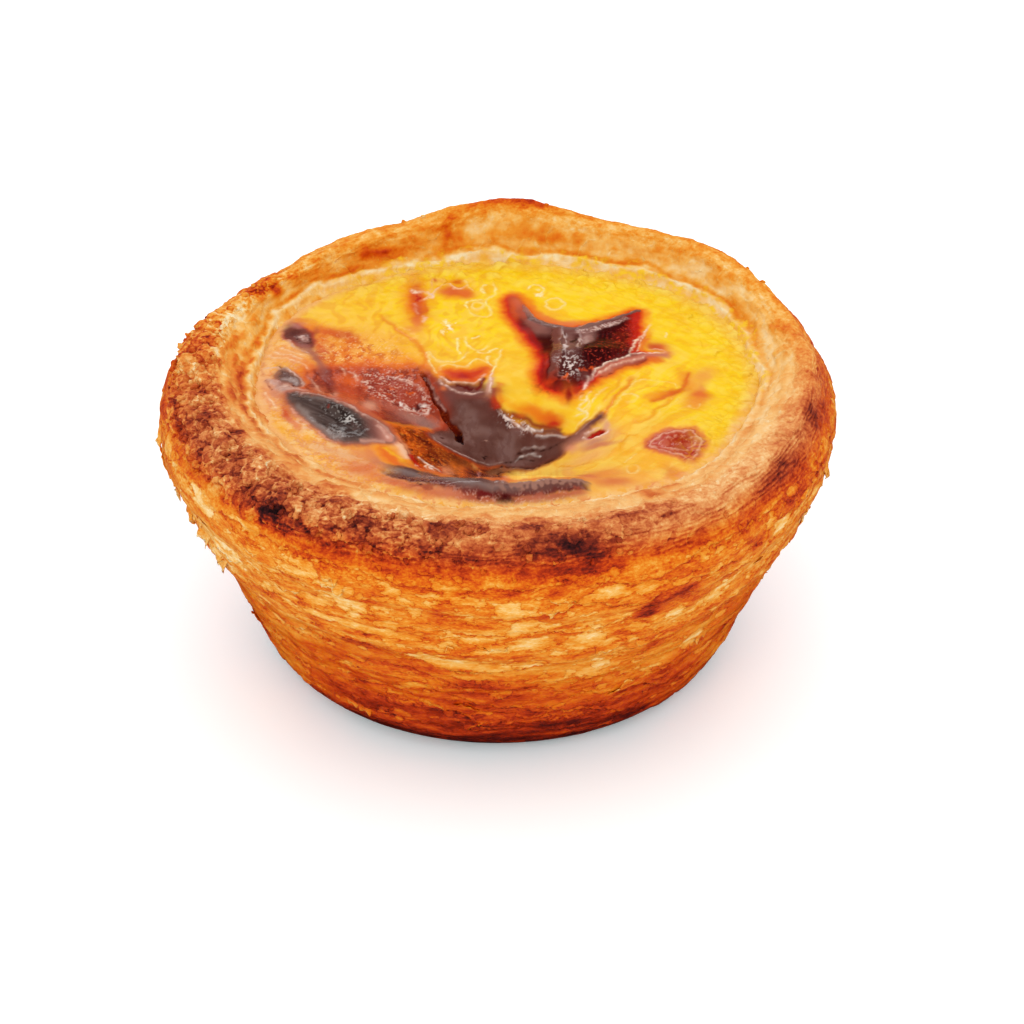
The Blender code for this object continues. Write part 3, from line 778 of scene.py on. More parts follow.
def pastry_material(name, stretch):
    mat, tree, shader = nodes_of(name)
    fields = {key: attribute(tree, key).outputs["Fac"] for key in DOUGH_FIELDS}

    def mul(a, b):
        return maths(tree, "MULTIPLY", a, b)

    def plus(a, b):
        return maths(tree, "ADD", a, b)

    def less(a, b):
        return maths(tree, "SUBTRACT", a, b)

    fine = grain(tree, 2600, 2, (1, 1, stretch), 0.0, 0.62)
    medium = grain(tree, 900, 2, (1, 1, stretch), 0.5, 0.6)
    edge_noise = grain(tree, 1500, 3, (1, 1, 1.6), 0.0, 0.66)
    tear_noise = grain(tree, 1100, 3.5, (1, 1, 1.9), 0.0, 0.68)
    speckle = mul(plus(remap(tree, fine, 0.3, 0.7, -0.13, 0.13), remap(tree, medium, 0.3, 0.7, -0.11, 0.11)), fields["grain"])
    # edges of sheets: a ragged cream lip over painted shade in the crack beneath it
    d = plus(fields["away"], remap(tree, edge_noise, 0.25, 0.75, -0.42, 0.42))
    on = step(tree, d, -0.03, 0.04)
    near = remap(tree, d, 0.0, 0.85, 1.0, 0.0)
    cream = mul(mul(fields["lip"], on), mul(near, near))
    crack_shade = mul(mul(fields["under"], less(1.0, on)), remap(tree, d, -0.55, -0.02, 0.0, 1.0))
    # patches where the top sheet has come away
    q = plus(fields["tear"], remap(tree, tear_noise, 0.25, 0.75, -0.17, 0.17))
    bare = step(tree, q, -0.012, 0.022)
    border = mul(step(tree, q, -0.09, -0.012), less(1.0, bare))
    pale_level = plus(mul(fields["brown"], 1.10), plus(-0.28, mul(speckle, 0.8)))
    # the crack's painted shade and the torn patches' darker borders go into the level here
    level = plus(plus(fields["brown"], speckle), plus(mul(crack_shade, 0.24), mul(border, 0.12)))
    # crumbs of broken plates on the rim
    own, edge = crumb_cells(tree, 620, 0.55)
    own2, edge2 = crumb_cells(tree, 1500, 0.5)
    seam = less(1.0, step(tree, edge, 0.0, 0.13))
    seam2 = less(1.0, step(tree, edge2, 0.0, 0.14))
    bits = plus(plus(remap(tree, own, 0.0, 1.0, -0.10, 0.08), remap(tree, own2, 0.0, 1.0, -0.07, 0.07)), plus(mul(seam, remap(tree, medium, 0.42, 0.58, -0.18, 0.15)), mul(seam2, 0.03)))
    level = plus(level, mul(bits, fields["crumbs"]))
    show = maths(tree, "MAXIMUM", mul(cream, 0.85), mul(bare, remap(tree, q, 0.0, 0.30, 0.36, 0.88)))
    level = plus(mul(level, less(1.0, show)), mul(pale_level, show))
    # the rim's ramp of drier crust and painted sheen, mixed in on the rim
    colour = mix_colour(tree, "MIX", fields["dry_and_sheen"], browning(tree, level, BUTTERY), browning(tree, level, DRY_AND_SHEEN))
    yolk = mul(fields["egg"], remap(tree, medium, 0.40, 0.56, 0.25, 0.95))
    colour = mix_colour(tree, "MIX", yolk, colour, (*(linear((254, 204, 40)) / LIGHT), 1.0))
    tree.links.new(colour, shader.inputs["Base Color"])
    wet = mul(fields["gloss"], less(1.0, mul(show, 0.7)))
    tree.links.new(remap(tree, wet, 0.0, 1.0, 0.70, 0.34), shader.inputs["Roughness"])
    tree.links.new(remap(tree, wet, 0.35, 1.0, 0.0, 0.14), shader.inputs["Coat Weight"])
    shader.inputs["Coat Roughness"].default_value = 0.3
    shader.inputs["Specular IOR Level"].default_value = 0.10
    steps = plus(plus(mul(bare, -0.35), mul(mul(on, fields["lip"]), 0.5)), mul(fields["crumbs"], plus(mul(own, 0.45), plus(mul(own2, 0.25), mul(seam, -0.3)))))
    relief = plus(plus(mul(medium, 0.30), mul(fine, 0.20)), steps)
    bump(tree, shader, [(relief, 0.16, 0.6)])
    return mat


def custard_material():
    mat, tree, shader = nodes_of("baked_custard_skin")
    paint = attribute(tree, "paint").outputs["Color"]
    medium = grain(tree, 520, 3, (1, 1, 1), 0.8)
    tone = mix_colour(tree, "MULTIPLY", remap(tree, medium, 0.38, 0.62, 0.10, 0.0), paint, (0.90, 0.66, 0.30, 1))
    tree.links.new(tone, shader.inputs["Base Color"])
    tree.links.new(attribute(tree, "rough").outputs["Fac"], shader.inputs["Roughness"])
    tree.links.new(attribute(tree, "gloss").outputs["Fac"], shader.inputs["Coat Weight"])
    shader.inputs["Coat Roughness"].default_value = 0.12
    shader.inputs["Specular IOR Level"].default_value = 0.08
    bump(tree, shader, [(medium, 0.05, 0.25)])
    return mat


# ---------------------------------------------------------------- the custard

YELLOW, GOLD, AMBER, TAN, CREAM = (254, 212, 12), (251, 194, 48), (244, 156, 46), (249, 182, 104), (254, 222, 128)
ORANGE, VERMILION, RED, MAROON, BLACK = (236, 118, 28), (214, 66, 12), (160, 14, 2), (84, 4, 4), (30, 8, 8)
RUST, UMBER, PLUM, ASH, PINK = (188, 78, 44), (122, 54, 40), (110, 66, 58), (104, 90, 84), (226, 152, 116)
BLISTER = [(-22.9, -1.1), (-20.6, -1.9), (-19.4, -2.9), (-18.0, -4.1), (-16.4, -5.3), (-14.8, -6.3), (-13.2, -7.1), (-12.2, -7.9), (-11.5, -8.8), (-11.2, -9.8), (-12.0, -10.3),
           (-13.4, -10.3), (-15.0, -10.7), (-16.6, -10.6), (-18.0, -9.8), (-18.7, -8.9), (-19.5, -7.7), (-20.3, -6.5), (-21.3, -5.1), (-22.3, -3.7), (-23.0, -2.3)]
PALE_ROLL = [(-25.6, 2.3), (-24.4, 2.6), (-23.0, 1.6), (-21.7, 0.2), (-20.6, -1.3), (-22.0, -1.8), (-23.4, -1.2), (-24.4, 0.4)]
BACK_BURN = [(1.6, 20.8), (2.5, 20.6), (3.2, 18.4), (3.9, 16.4), (5.0, 15.1), (6.6, 14.3), (8.6, 14.0), (10.4, 14.4), (12.0, 15.4), (14.0, 16.6), (15.9, 17.7), (15.9, 15.2),
             (15.8, 12.6), (15.5, 10.4), (15.4, 8.0), (16.8, 7.4), (17.0, 6.6), (14.6, 5.2), (12.6, 3.6), (11.2, 2.4), (10.2, 1.2), (9.0, 0.4), (7.9, -0.2), (6.8, 0.0),
             (5.6, 0.7), (4.8, 1.8), (4.7, 3.2), (5.0, 4.8), (4.9, 6.4), (4.5, 8.4), (3.7, 10.6), (3.0, 12.8), (2.1, 15.2), (1.5, 17.4), (1.3, 19.4)]
BACK_DARK = [(9.6, 11.0), (11.0, 12.5), (12.6, 13.2), (14.0, 14.3), (15.3, 16.0), (15.4, 13.0), (15.2, 10.6), (14.6, 8.2), (14.0, 6.4), (12.2, 4.8), (10.8, 3.9), (9.2, 4.2), (9.3, 6.6), (9.5, 9.0)]
POOL = [(-5.6, 0.6), (-4.4, 0.2), (-2.2, -0.3), (-0.9, -1.0), (0.2, -2.6), (1.8, -3.9), (3.6, -4.9), (5.4, -5.5), (7.8, -6.2), (9.2, -5.8), (10.6, -4.9), (11.3, -4.1),
        (10.4, -5.4), (8.8, -6.7), (7.4, -7.7), (6.0, -8.5), (4.6, -8.8), (3.0, -8.8), (1.6, -8.4), (0.0, -8.2), (-1.2, -8.8), (-2.2, -9.0), (-3.4, -8.6), (-5.0, -8.4), (-6.4, -7.9), (-7.3, -6.8), (-6.6, -5.6), (-5.6, -4.6), (-5.2, -2.6), (-6.4, 0.0)]
EMBER = [(-20.6, 3.6), (-17.6, 4.8), (-14.4, 4.9), (-11.2, 4.6), (-8.6, 4.8), (-7.4, 3.0), (-6.4, 0.8), (-5.4, -2.0), (-5.0, -6.0), (-7.2, -6.6), (-9.6, -8.4), (-11.4, -7.6),
         (-13.6, -6.5), (-16.2, -5.3), (-18.4, -3.5), (-20.8, -1.8), (-21.4, 0.8)]
CARAMEL = [(-11.8, -7.4), (-10.6, -6.9), (-9.4, -6.3), (-8.0, -5.9), (-7.2, -6.4), (-6.4, -7.8), (-4.6, -8.3), (-2.8, -8.6), (-1.2, -8.8), (0.6, -8.8), (0.8, -10.4), (0.9, -13.0), (0.8, -17.0), (0.8, -20.4), (-2.8, -20.4), (-4.2, -18.0),
           (-5.4, -16.2), (-7.6, -16.1), (-8.6, -15.6), (-9.4, -13.6), (-9.6, -12.0), (-10.2, -10.4), (-10.8, -9.0)]
ROLL = [(-12.8, -15.4), (-10.8, -16.5), (-8.8, -17.6), (-7.0, -18.6), (-5.2, -19.8), (-3.2, -20.9), (-1.0, -21.5), (1.5, -21.7), (4.0, -21.5), (6.4, -21.0), (8.6, -20.6), (10.4, -20.6)]


def custard_skin(x, y):
    """The custard's top at plan points: height, colour, coat and roughness."""
    t = np.arctan2(y, x)
    deg = np.degrees(t)
    r = np.hypot(x, y)
    edge = custard_rim(t)
    q = r / edge

    def at(wide, shift=0.0, tall=None):
        return np.stack([x / wide + shift, y / (tall or wide) - shift, 0 * x + shift], 1)

    h = CUSTARD_EDGE - 0.05 + custard_lift(t) * np.minimum(1.0, q * CUSTARD_RADIUS / 20.0)
    h = h + custard_relief(x, y) * smooth(1.0, 0.86, q)
    n4, n2, n1, n05, n02 = fbm(at(4.2, 2.0), 2, 1), fbm(at(2.0, 4.0), 2, 2), noise(at(1.0, 6.0), 3), noise(at(0.5, 8.0), 4), noise(at(0.24, 9.0), 5)
    # outlines are followed through a small wander, so no edge is drawn clean
    wx = x + 0.26 * fbm(at(2.2, 1.0), 2, 201) + 0.12 * noise(at(0.62, 3.0), 203) + 0.05 * noise(at(0.28, 4.0), 204)
    wy = y + 0.26 * fbm(at(2.2, 5.0), 2, 205) + 0.12 * noise(at(0.62, 7.0), 207) + 0.05 * noise(at(0.28, 8.0), 208)
    rx = x + 0.40 * noise(at(1.1, 2.0), 211) + 0.30 * noise(at(0.45, 3.0), 212) + 0.16 * noise(at(0.22, 4.0), 213)
    ry = y + 0.40 * noise(at(1.1, 6.0), 214) + 0.30 * noise(at(0.45, 7.0), 215) + 0.16 * noise(at(0.22, 8.0), 216)

    colour = np.tile(linear(YELLOW), (len(x), 1))
    gloss = np.full(len(x), 0.10)
    rough = np.full(len(x), 0.42)

    def paint(amount, tone):
        nonlocal colour
        a = np.clip(amount, 0, 1)[:, None]
        colour = colour * (1 - a) + linear(tone) * a

    def wet(amount, coat, roughness=None):
        nonlocal gloss, rough
        amount = np.clip(amount, 0, 1)
        gloss = gloss * (1 - amount) + coat * amount
        if roughness is not None:
            rough = rough * (1 - amount) + roughness * amount

    def dab(cx, cy, wide, tall, turn=0.0, edge=1.3, ragged_=False):
        a = math.radians(turn)
        px, py = (rx, ry) if ragged_ else (wx, wy)
        u = (px - cx) * math.cos(a) + (py - cy) * math.sin(a)
        v = -(px - cx) * math.sin(a) + (py - cy) * math.cos(a)
        return np.exp(-((u / wide) ** 2 + (v / tall) ** 2) ** edge)

    def halo(d, stops):
        """Paints bands of colour by the distance d into a shape: (distance, colour, how much)."""
        nonlocal colour
        places = [p for p, _, _ in stops]
        amount = np.interp(d, places, [a for _, _, a in stops], left=0.0)[:, None]
        tones = np.array([linear(c) for _, c, _ in stops])
        tone = np.stack([np.interp(d, places, tones[:, k]) for k in range(3)], 1)
        colour = colour * (1 - amount) + tone * amount

    def stroke(line, wide, tone=None, amount=1.0, lift=0.0, coat=None, ends=(0.12, 0.15), straight=False, hard=1.0):
        """A line of lifted or sunk skin, painted along its length."""
        nonlocal h
        px, py = (x, y) if straight else (wx, wy)
        e, along, _ = beside(px, py, line, 3 * wide + 0.6)
        m = np.exp(-((e / wide) ** 2) ** hard) * smooth(0, ends[0], along + 1e-6) * smooth(1.0, 1 - ends[1], along)
        if wide < 0.25:
            m = m * (0.45 + 0.55 * smooth(-0.15, 0.25, n05 + 0.5 * n1))
        h = h + lift * m
        if tone is not None:
            paint(amount * m, tone)
        if coat is not None:
            wet(m, coat)
        return m

    # plain custard: yellow at the back and right, gold in the middle, amber at the left, tan at the front edge
    left = smooth(-3.0, -13.0, x + 0.25 * y + 1.5 * n4)
    paint(0.75 * smooth(13.0, 1.0, x + 1.5 * n4) * smooth(14.0, 4.0, y - 0.2 * x), GOLD)
    paint(0.80 * smooth(-1.0, -9.0, y + 1.2 * n4) * smooth(24, 16, x), (250, 186, 66))
    paint(0.85 * left * smooth(14.5, 9.0, y + 1.2 * n2), (243, 152, 58))
    paint(0.55 * left * smooth(9.0, 15.0, y), (252, 190, 62))
    paint(0.7 * smooth(-17, -22, x + 0.8 * n2) * smooth(3.0, 8.0, y) * smooth(13, 9, y), (247, 168, 92))
    rimward = smooth(0.80, 0.97, q + 0.02 * n2)
    paint(rimward * smooth(14, 4, y) * smooth(2, -8, x) * 0.9, (250, 182, 100))
    paint(rimward * smooth(-8, -15, y) * 0.85, (251, 184, 96))
    paint(0.6 * smooth(0.93, 1.0, q), (250, 196, 120))
    paint(0.55 * smooth(0.93, 1.0, q) * smooth(-20, 10, y), (252, 204, 70))
    # its own mottling: paler curds, deeper hollows, faint streaks
    paint(0.22 * smooth(0.10, 0.6, n2 + 0.5 * n1), (255, 222, 100))
    paint(0.40 * smooth(0.05, 0.6, -n2 - 0.3 * n1 + 0.3 * n4), (249, 174, 6))
    streaks = fbm(np.stack([(x * 0.6 + y * 0.8) / 0.55, (x * 0.8 - y * 0.6) / 3.2, 0 * x], 1), 2, 221)
    paint(0.16 * smooth(0.12, 0.5, streaks) * smooth(-6, 4, x), (255, 226, 100))
    paint(0.16 * smooth(0.12, 0.5, -streaks) * smooth(0, 8, x), (249, 176, 8))
    swirl = fbm(np.stack([(x - 0.35 * y + 1.4 * n4) / 1.1, (y + 0.35 * x) / 2.6, 0 * x + 4], 1), 2, 223)
    paint(0.30 * smooth(0.08, 0.4, swirl) * smooth(3, -4, x), (253, 200, 96))
    paint(0.30 * smooth(0.08, 0.4, -swirl) * smooth(3, -4, x), (236, 128, 34))
    h += 0.10 * fbm(at(3.0, 2.0), 2, 261) + 0.03 * n1 + 0.008 * n05

    def soft(*spots):
        for cx, cy, wide, tall, turn, amount, tone in spots:
            paint(amount * dab(cx, cy, wide, tall, turn), tone)

    def torn(*spots):
        for cx, cy, wide, tall, turn, amount, tone in spots:
            paint(amount * dab(cx, cy, wide, tall, turn, 1.5, True), tone)

    def lines(*rows):
        for line, wide, tone, amount, lift in rows:
            stroke(line, wide, tone, amount, lift, 0.6)

    specks = n02 + 0.6 * n05

    # the pale, mottled ledge along the left and front edge
    ledge = smooth(0.74, 0.84, q + 0.03 * n2) * smooth(66, 40, np.abs(turn_to(deg, -158)))
    mottle = fbm(np.stack([rx / 1.3, ry / 1.0, 0 * x + 5], 1), 3, 251)
    paint(0.65 * ledge * smooth(0.08, 0.36, mottle), (253, 212, 146))
    paint(0.60 * ledge * smooth(0.08, 0.36, -mottle), (226, 132, 84))
    paint(0.60 * ledge * smooth(0.24, 0.44, -specks - 0.4 * mottle), (250, 178, 26))
    paint(0.25 * ledge * smooth(0.26, 0.46, specks), (255, 226, 176))
    h += 0.07 * ledge * mottle
    # broad scorching of the left: gold, orange, red brown, with lighter flecks between
    soft((-16.0, 8.4, 6.2, 5.0, -20, 0.75, (240, 136, 40)), (-13.0, 10.0, 1.8, 2.2, 20, 0.7, (253, 196, 60)), (-9.6, 9.0, 1.6, 4.0, 12, 0.6, (253, 192, 32)), (-20.4, 13.8, 2.4, 1.2, -25, 0.7, (238, 116, 24)),
         (-18.6, 12.8, 2.2, 0.9, -22, 0.85, (216, 84, 30)), (-17.0, 12.2, 1.2, 0.9, -20, 0.85, (204, 78, 34)), (-16.4, 11.2, 1.0, 1.2, 0, 0.7, (222, 92, 26)), (-19.6, 10.4, 1.2, 2.2, 10, 0.8, (226, 98, 30)), (-19.4, 7.6, 1.1, 2.2, 0, 0.8, (206, 86, 56)),
         (-17.2, 7.0, 1.6, 2.6, 0, 0.65, (232, 108, 24)), (-14.2, 6.4, 3.0, 1.6, -10, 0.55, (240, 132, 36)), (-10.0, 5.6, 1.6, 2.2, 12, 0.7, (246, 146, 14)), (-18.0, 4.6, 1.4, 1.4, 0, 0.7, (206, 74, 34)), (-15.6, 4.4, 2.0, 1.0, 0, 0.6, (232, 104, 30)),
         (-23.4, 7.4, 2.4, 2.0, -40, 0.75, (248, 176, 112)), (-22.0, 5.6, 2.0, 0.7, -35, 0.6, (236, 140, 90)), (-24.6, 14.2, 1.6, 0.9, 60, 0.7, (226, 96, 34)), (-22.6, 15.8, 1.6, 0.6, 5, 0.6, (226, 110, 60)), (-25.4, 0.6, 1.4, 4.6, 8, 0.75, (236, 150, 108)),
         (-23.6, -1.0, 0.6, 2.4, 20, 0.5, (214, 116, 90)), (-23.0, -4.8, 0.5, 1.8, 22, 0.9, (206, 60, 18)), (-22.0, -6.8, 0.6, 1.8, 30, 0.8, (228, 130, 90)), (-23.8, -8.0, 1.2, 2.6, 28, 0.7, (248, 172, 34)), (-20.6, -9.8, 0.4, 1.0, 20, 0.8, (248, 166, 12)),
         (-17.6, -12.6, 4.0, 1.3, -28, 0.6, (228, 158, 118)), (-13.4, -13.2, 2.6, 1.4, -40, 0.75, (224, 128, 80)), (-14.6, -16.2, 2.6, 1.8, -30, 0.85, (222, 112, 64)), (-12.2, -15.0, 1.6, 0.9, -30, 0.6, (186, 112, 90)), (-11.6, -18.6, 2.6, 1.2, -25, 0.6, (232, 124, 56)),
         (-10.2, -21.0, 2.2, 0.8, -18, 0.7, (246, 176, 40)), (-7.4, -22.0, 1.4, 0.6, -8, 0.6, (224, 108, 60)))
    flecks = fbm(np.stack([rx / 0.9, ry / 1.5, 0 * x + 3], 1), 3, 229)
    field = dab(-15.4, 7.6, 5.4, 4.4, -15)
    paint(0.60 * field * smooth(0.10, 0.40, flecks), (252, 190, 96))
    paint(0.65 * field * smooth(0.12, 0.42, -flecks), (204, 78, 26))
    paint(0.7 * field * smooth(0.28, 0.5, specks), (255, 214, 150))
    h += 0.06 * field * flecks
    # a dark seam down to the slit, gold on its right
    lines(([(-13.4, 17.2), (-12.4, 15.0), (-11.0, 12.6), (-9.6, 11.0), (-8.6, 9.0), (-8.0, 6.4), (-8.5, 4.4)], 0.34, (240, 132, 20), 0.8, -0.04),
          ([(-12.9, 17.0), (-11.8, 14.8), (-10.4, 12.8), (-9.0, 11.2), (-8.0, 9.2)], 0.40, (253, 204, 70), 0.5, 0.04))
    ember = inside(wx, wy, EMBER)
    halo(ember + 0.6 * n2 + 0.25 * n05, [(-2.4, (243, 140, 30), 0.0), (-1.0, (230, 98, 24), 0.65), (0.2, (208, 76, 34), 0.9), (1.6, (190, 70, 44), 0.95), (4.0, (178, 72, 50), 0.97)])
    inner = smooth(-0.6, 0.8, ember)
    flow = fbm(np.stack([(rx + 0.1 * ry) / 0.7, (ry - 0.1 * rx) / 2.6, 0 * x + 8], 1), 3, 225)
    paint(0.65 * inner * smooth(0.05, 0.40, flow), (116, 32, 24))
    paint(0.55 * inner * smooth(0.08, 0.42, -flow), (222, 98, 50))
    paint(0.25 * inner, (146, 42, 24))
    # the grey pink dabs beside the slit, at (-9, -3.6) and (-7.4, -4.4), are painted sheen
    soft((-16.4, -1.0, 1.4, 3.0, 6, 0.75, (212, 82, 42)), (-14.0, -3.8, 0.9, 2.0, -6, 0.85, (226, 156, 128)), (-16.0, -4.4, 1.0, 1.4, 0, 0.6, (214, 110, 76)), (-15.2, 0.8, 0.4, 1.4, 5, 0.7, (150, 40, 22)), (-16.4, 2.6, 1.6, 1.2, -10, 0.75, (228, 96, 26)),
         (-18.6, 1.6, 0.7, 3.4, 8, 0.8, (146, 62, 52)), (-19.8, -0.4, 0.6, 2.4, 15, 0.7, (196, 118, 92)), (-17.8, -2.4, 0.5, 1.6, 0, 0.7, (226, 170, 146)), (-12.8, -5.4, 2.0, 0.8, 20, 0.85, (170, 60, 34)), (-11.0, -4.8, 1.6, 1.2, -10, 0.75, (136, 64, 54)),
         (-10.4, -6.0, 1.8, 0.8, 10, 0.7, (122, 50, 42)), (-9.0, -3.6, 2.2, 1.3, -20, 0.85, (172, 118, 104)), (-12.0, -2.0, 1.4, 1.0, -30, 0.7, (180, 96, 78)), (-7.4, -4.4, 1.2, 1.6, 10, 0.8, (150, 112, 104)))
    h += inner * 0.06 * flow
    wet(inner, 0.4, 0.3)
    # the pale lines here are painted highlights
    lines(([(-20.4, 4.4), (-19.2, 2.6), (-18.7, 0.6), (-18.2, -1.6), (-17.6, -3.6)], 0.22, (120, 30, 20), 0.8, -0.05), ([(-21.0, 3.4), (-20.2, 1.4), (-19.6, -0.8), (-18.8, -2.6)], 0.16, (238, 176, 148), 0.7, 0.05), ([(-16.6, 4.4), (-15.9, 3.6), (-15.4, 2.4)], 0.2, (244, 204, 176), 0.8, 0.06),
          ([(-17.5, 5.2), (-17.0, 4.2), (-16.9, 3.2)], 0.18, (244, 186, 150), 0.7, 0.05), ([(-19.2, -2.0), (-18.2, -3.8), (-17.0, -4.9), (-15.4, -5.8)], 0.16, (150, 60, 44), 0.7, -0.04), ([(-12.4, -4.2), (-13.0, -5.2), (-14.2, -5.6)], 0.2, (180, 60, 30), 0.7, -0.04))
    # its bubbled patch, with small bright bursts of painted highlight round its edge
    bub = inside(rx, ry, [(-14.6, 2.8), (-13.6, 3.6), (-12.0, 3.4), (-10.6, 2.8), (-9.2, 2.0), (-8.2, 0.8), (-7.6, -0.4), (-7.4, -1.6), (-8.4, -2.4), (-10.0, -2.2), (-11.0, -1.4), (-12.2, -0.6), (-13.6, 0.2), (-14.2, 1.4)])
    patch = smooth(-0.4, 0.5, bub)
    f1, f2, own, _ = cells(at(0.75, 2.0), 21)
    g1, _, own2, _ = cells(at(0.38, 6.0), 22)
    paint(0.9 * patch, (170, 68, 48))
    h += patch * (0.12 * smooth(0.6, 0.1, f1) * own + 0.06 * smooth(0.6, 0.1, g1) * own2)
    paint(0.6 * patch * smooth(0.5, 0.1, g1) * smooth(0.35, 0.9, own2), (216, 136, 112))
    paint(0.6 * patch * smooth(0.6, 0.95, 1 - own), (132, 36, 26))
    bubble_rim_highlights = np.exp(-(((bub - 0.05) / 0.45) ** 2)) * smooth(0.16, 0.42, specks + 0.10)
    paint(0.70 * bubble_rim_highlights, (240, 200, 182))
    h += 0.05 * bubble_rim_highlights
    bubble_glints = dab(-12.0, 2.0, 4.6, 3.4, -25)
    paint(0.6 * bubble_glints * smooth(0.40, 0.56, specks), (240, 184, 158))
    wet(patch, 0.6, 0.25)
    # the pale lines and dabs round the patch are painted highlights
    lines(([(-12.4, 3.4), (-10.6, 2.8), (-9.2, 1.8), (-8.2, 0.6), (-7.6, -0.6)], 0.15, (236, 190, 172), 0.7, 0.05), ([(-7.5, -1.0), (-7.5, -1.8), (-8.2, -2.3), (-9.2, -2.0), (-9.0, -1.4)], 0.16, (238, 206, 192), 0.8, 0.05))
    torn((-8.8, -1.6, 0.5, 0.35, 20, 0.95, (76, 20, 18)), (-8.0, -1.3, 0.5, 0.28, -10, 0.9, (248, 228, 216)), (-10.6, -1.4, 0.3, 0.5, 10, 0.9, (250, 232, 220)), (-10.0, -2.0, 0.4, 0.3, 0, 0.8, (240, 206, 190)), (-9.6, 0.7, 0.28, 0.34, 0, 0.9, (232, 92, 16)), (-11.6, 1.2, 0.22, 0.28, 0, 0.8, (226, 96, 26)), (-12.0, 0.2, 0.2, 0.2, 0, 0.8, (214, 84, 30)),
         (-11.2, -1.6, 0.3, 0.5, 20, 0.8, (110, 30, 24)))

    # caramel below the pool: glassy orange brown, streaked dark, with painted glints, down to the front roll
    car = inside(wx, wy, CARAMEL)
    run = fbm(np.stack([(rx * 0.72 + ry * 0.62) / 0.8, (rx * 0.62 - ry * 0.72) / 2.4, 0 * x], 1), 3, 231)
    fall = noise(np.stack([x / 0.30, y / 9.0, 0 * x + 3], 1), 233)
    halo(car + 0.25 * n1, [(-1.2, (248, 160, 20), 0.0), (-0.3, (236, 116, 14), 0.8), (0.7, (200, 76, 12), 0.95), (2.0, (146, 50, 16), 1.0), (3.5, (118, 40, 18), 1.0)])
    inner = smooth(-0.3, 0.8, car)
    near_left = smooth(-6.5, -10.5, wx + 0.35 * (wy + 9))
    paint(0.75 * near_left * inner, (214, 88, 14))
    paint(0.80 * inner * smooth(0.02, 0.35, run), (84, 22, 8))
    paint(0.70 * inner * smooth(0.10, 0.40, -run), (208, 92, 18))
    # bright orange specks: painted glints
    paint(0.45 * inner * smooth(0.34, 0.54, specks), (246, 146, 50))
    paint(0.30 * inner * smooth(0.26, 0.45, -specks), (56, 12, 6))
    paint(0.55 * inner * smooth(0.10, 0.34, flow), (98, 24, 8))
    # the ochre dabs near (-2, -9) are painted highlights
    soft((-5.2, -9.8, 1.6, 1.4, 0, 0.6, (88, 32, 18)), (-3.4, -10.4, 0.8, 1.8, 0, 0.7, (120, 62, 30)), (-1.9, -8.9, 0.6, 0.5, 10, 0.7, (196, 134, 60)), (-2.6, -9.6, 0.3, 0.8, 20, 0.6, (210, 150, 80)), (-0.4, -9.8, 0.8, 1.2, -30, 0.8, (120, 72, 44)), (0.2, -9.4, 1.4, 0.5, 45, 0.7, (150, 96, 62)), (-4.6, -12.8, 0.9, 2.4, 5, 0.7, (226, 112, 30)),
         (-5.4, -14.6, 0.8, 1.8, 5, 0.8, (228, 140, 96)))
    # the strip of orange and the cream ledge left of it, with red glassy lenses
    strip = inside(wx, wy, [(-13.0, -10.8), (-11.4, -11.8), (-9.8, -13.6), (-8.4, -15.8), (-9.6, -16.0), (-11.2, -15.0), (-12.6, -13.4)])
    halo(strip, [(-0.6, (248, 160, 60), 0.0), (0.0, (246, 146, 20), 0.8), (0.6, (234, 108, 16), 0.95)])
    lines(([(-12.4, -11.4), (-10.6, -13.4), (-9.0, -15.8)], 0.3, (252, 186, 20), 0.7, 0.05), ([(-11.6, -8.6), (-10.8, -10.4), (-10.2, -12.0), (-9.8, -13.6)], 0.55, (246, 196, 160), 0.9, 0.10), ([(-10.8, -9.2), (-10.0, -11.0), (-9.5, -12.8)], 0.12, (120, 50, 30), 0.7, -0.05),
          ([(-9.4, -11.8), (-9.0, -13.4), (-8.2, -14.8), (-7.6, -15.8)], 0.42, (182, 12, 0), 0.95, -0.06), ([(-8.5, -12.2), (-7.6, -13.4), (-6.4, -14.4), (-6.0, -15.6)], 0.14, (252, 226, 204), 0.85, 0.06), ([(-7.4, -13.4), (-7.6, -14.6), (-6.9, -15.6)], 0.12, (250, 210, 180), 0.8, 0.05),
          ([(-6.2, -13.6), (-5.9, -14.8), (-6.2, -15.8)], 0.22, (196, 30, 0), 0.9, -0.04))
    torn((-7.0, -14.5, 0.34, 0.8, 18, 0.95, (250, 222, 204)), (-8.6, -14.4, 0.16, 0.5, 20, 0.8, (250, 190, 160)))
    wet(inner, 0.8, 0.16)
    # the steep wall under it, in stripes
    funnel = smooth(-4.4, -3.8, wx) * smooth(1.5, 0.9, wx) * smooth(-9.6, -12.0, y) * smooth(-21.4, -20.2, y)
    bands = np.stack([np.interp(wx + 0.12 * fall, [-4.2, -3.6, -3.0, -2.5, -2.2, -2.0, -1.7, -1.1, -0.6, -0.1, 0.4, 0.8, 1.3], [c[k] for c in
                      ((222, 110, 40), (214, 96, 30), (140, 50, 20), (84, 20, 16), (84, 22, 22), (176, 120, 116), (96, 34, 26), (132, 74, 54), (180, 112, 84), (112, 50, 38), (98, 38, 28), (206, 110, 74), (240, 170, 116))]) for k in range(3)], 1)
    a = (0.95 * funnel)[:, None]
    colour = colour * (1 - a) + linear(bands) * a
    h += inner * 0.05 * run
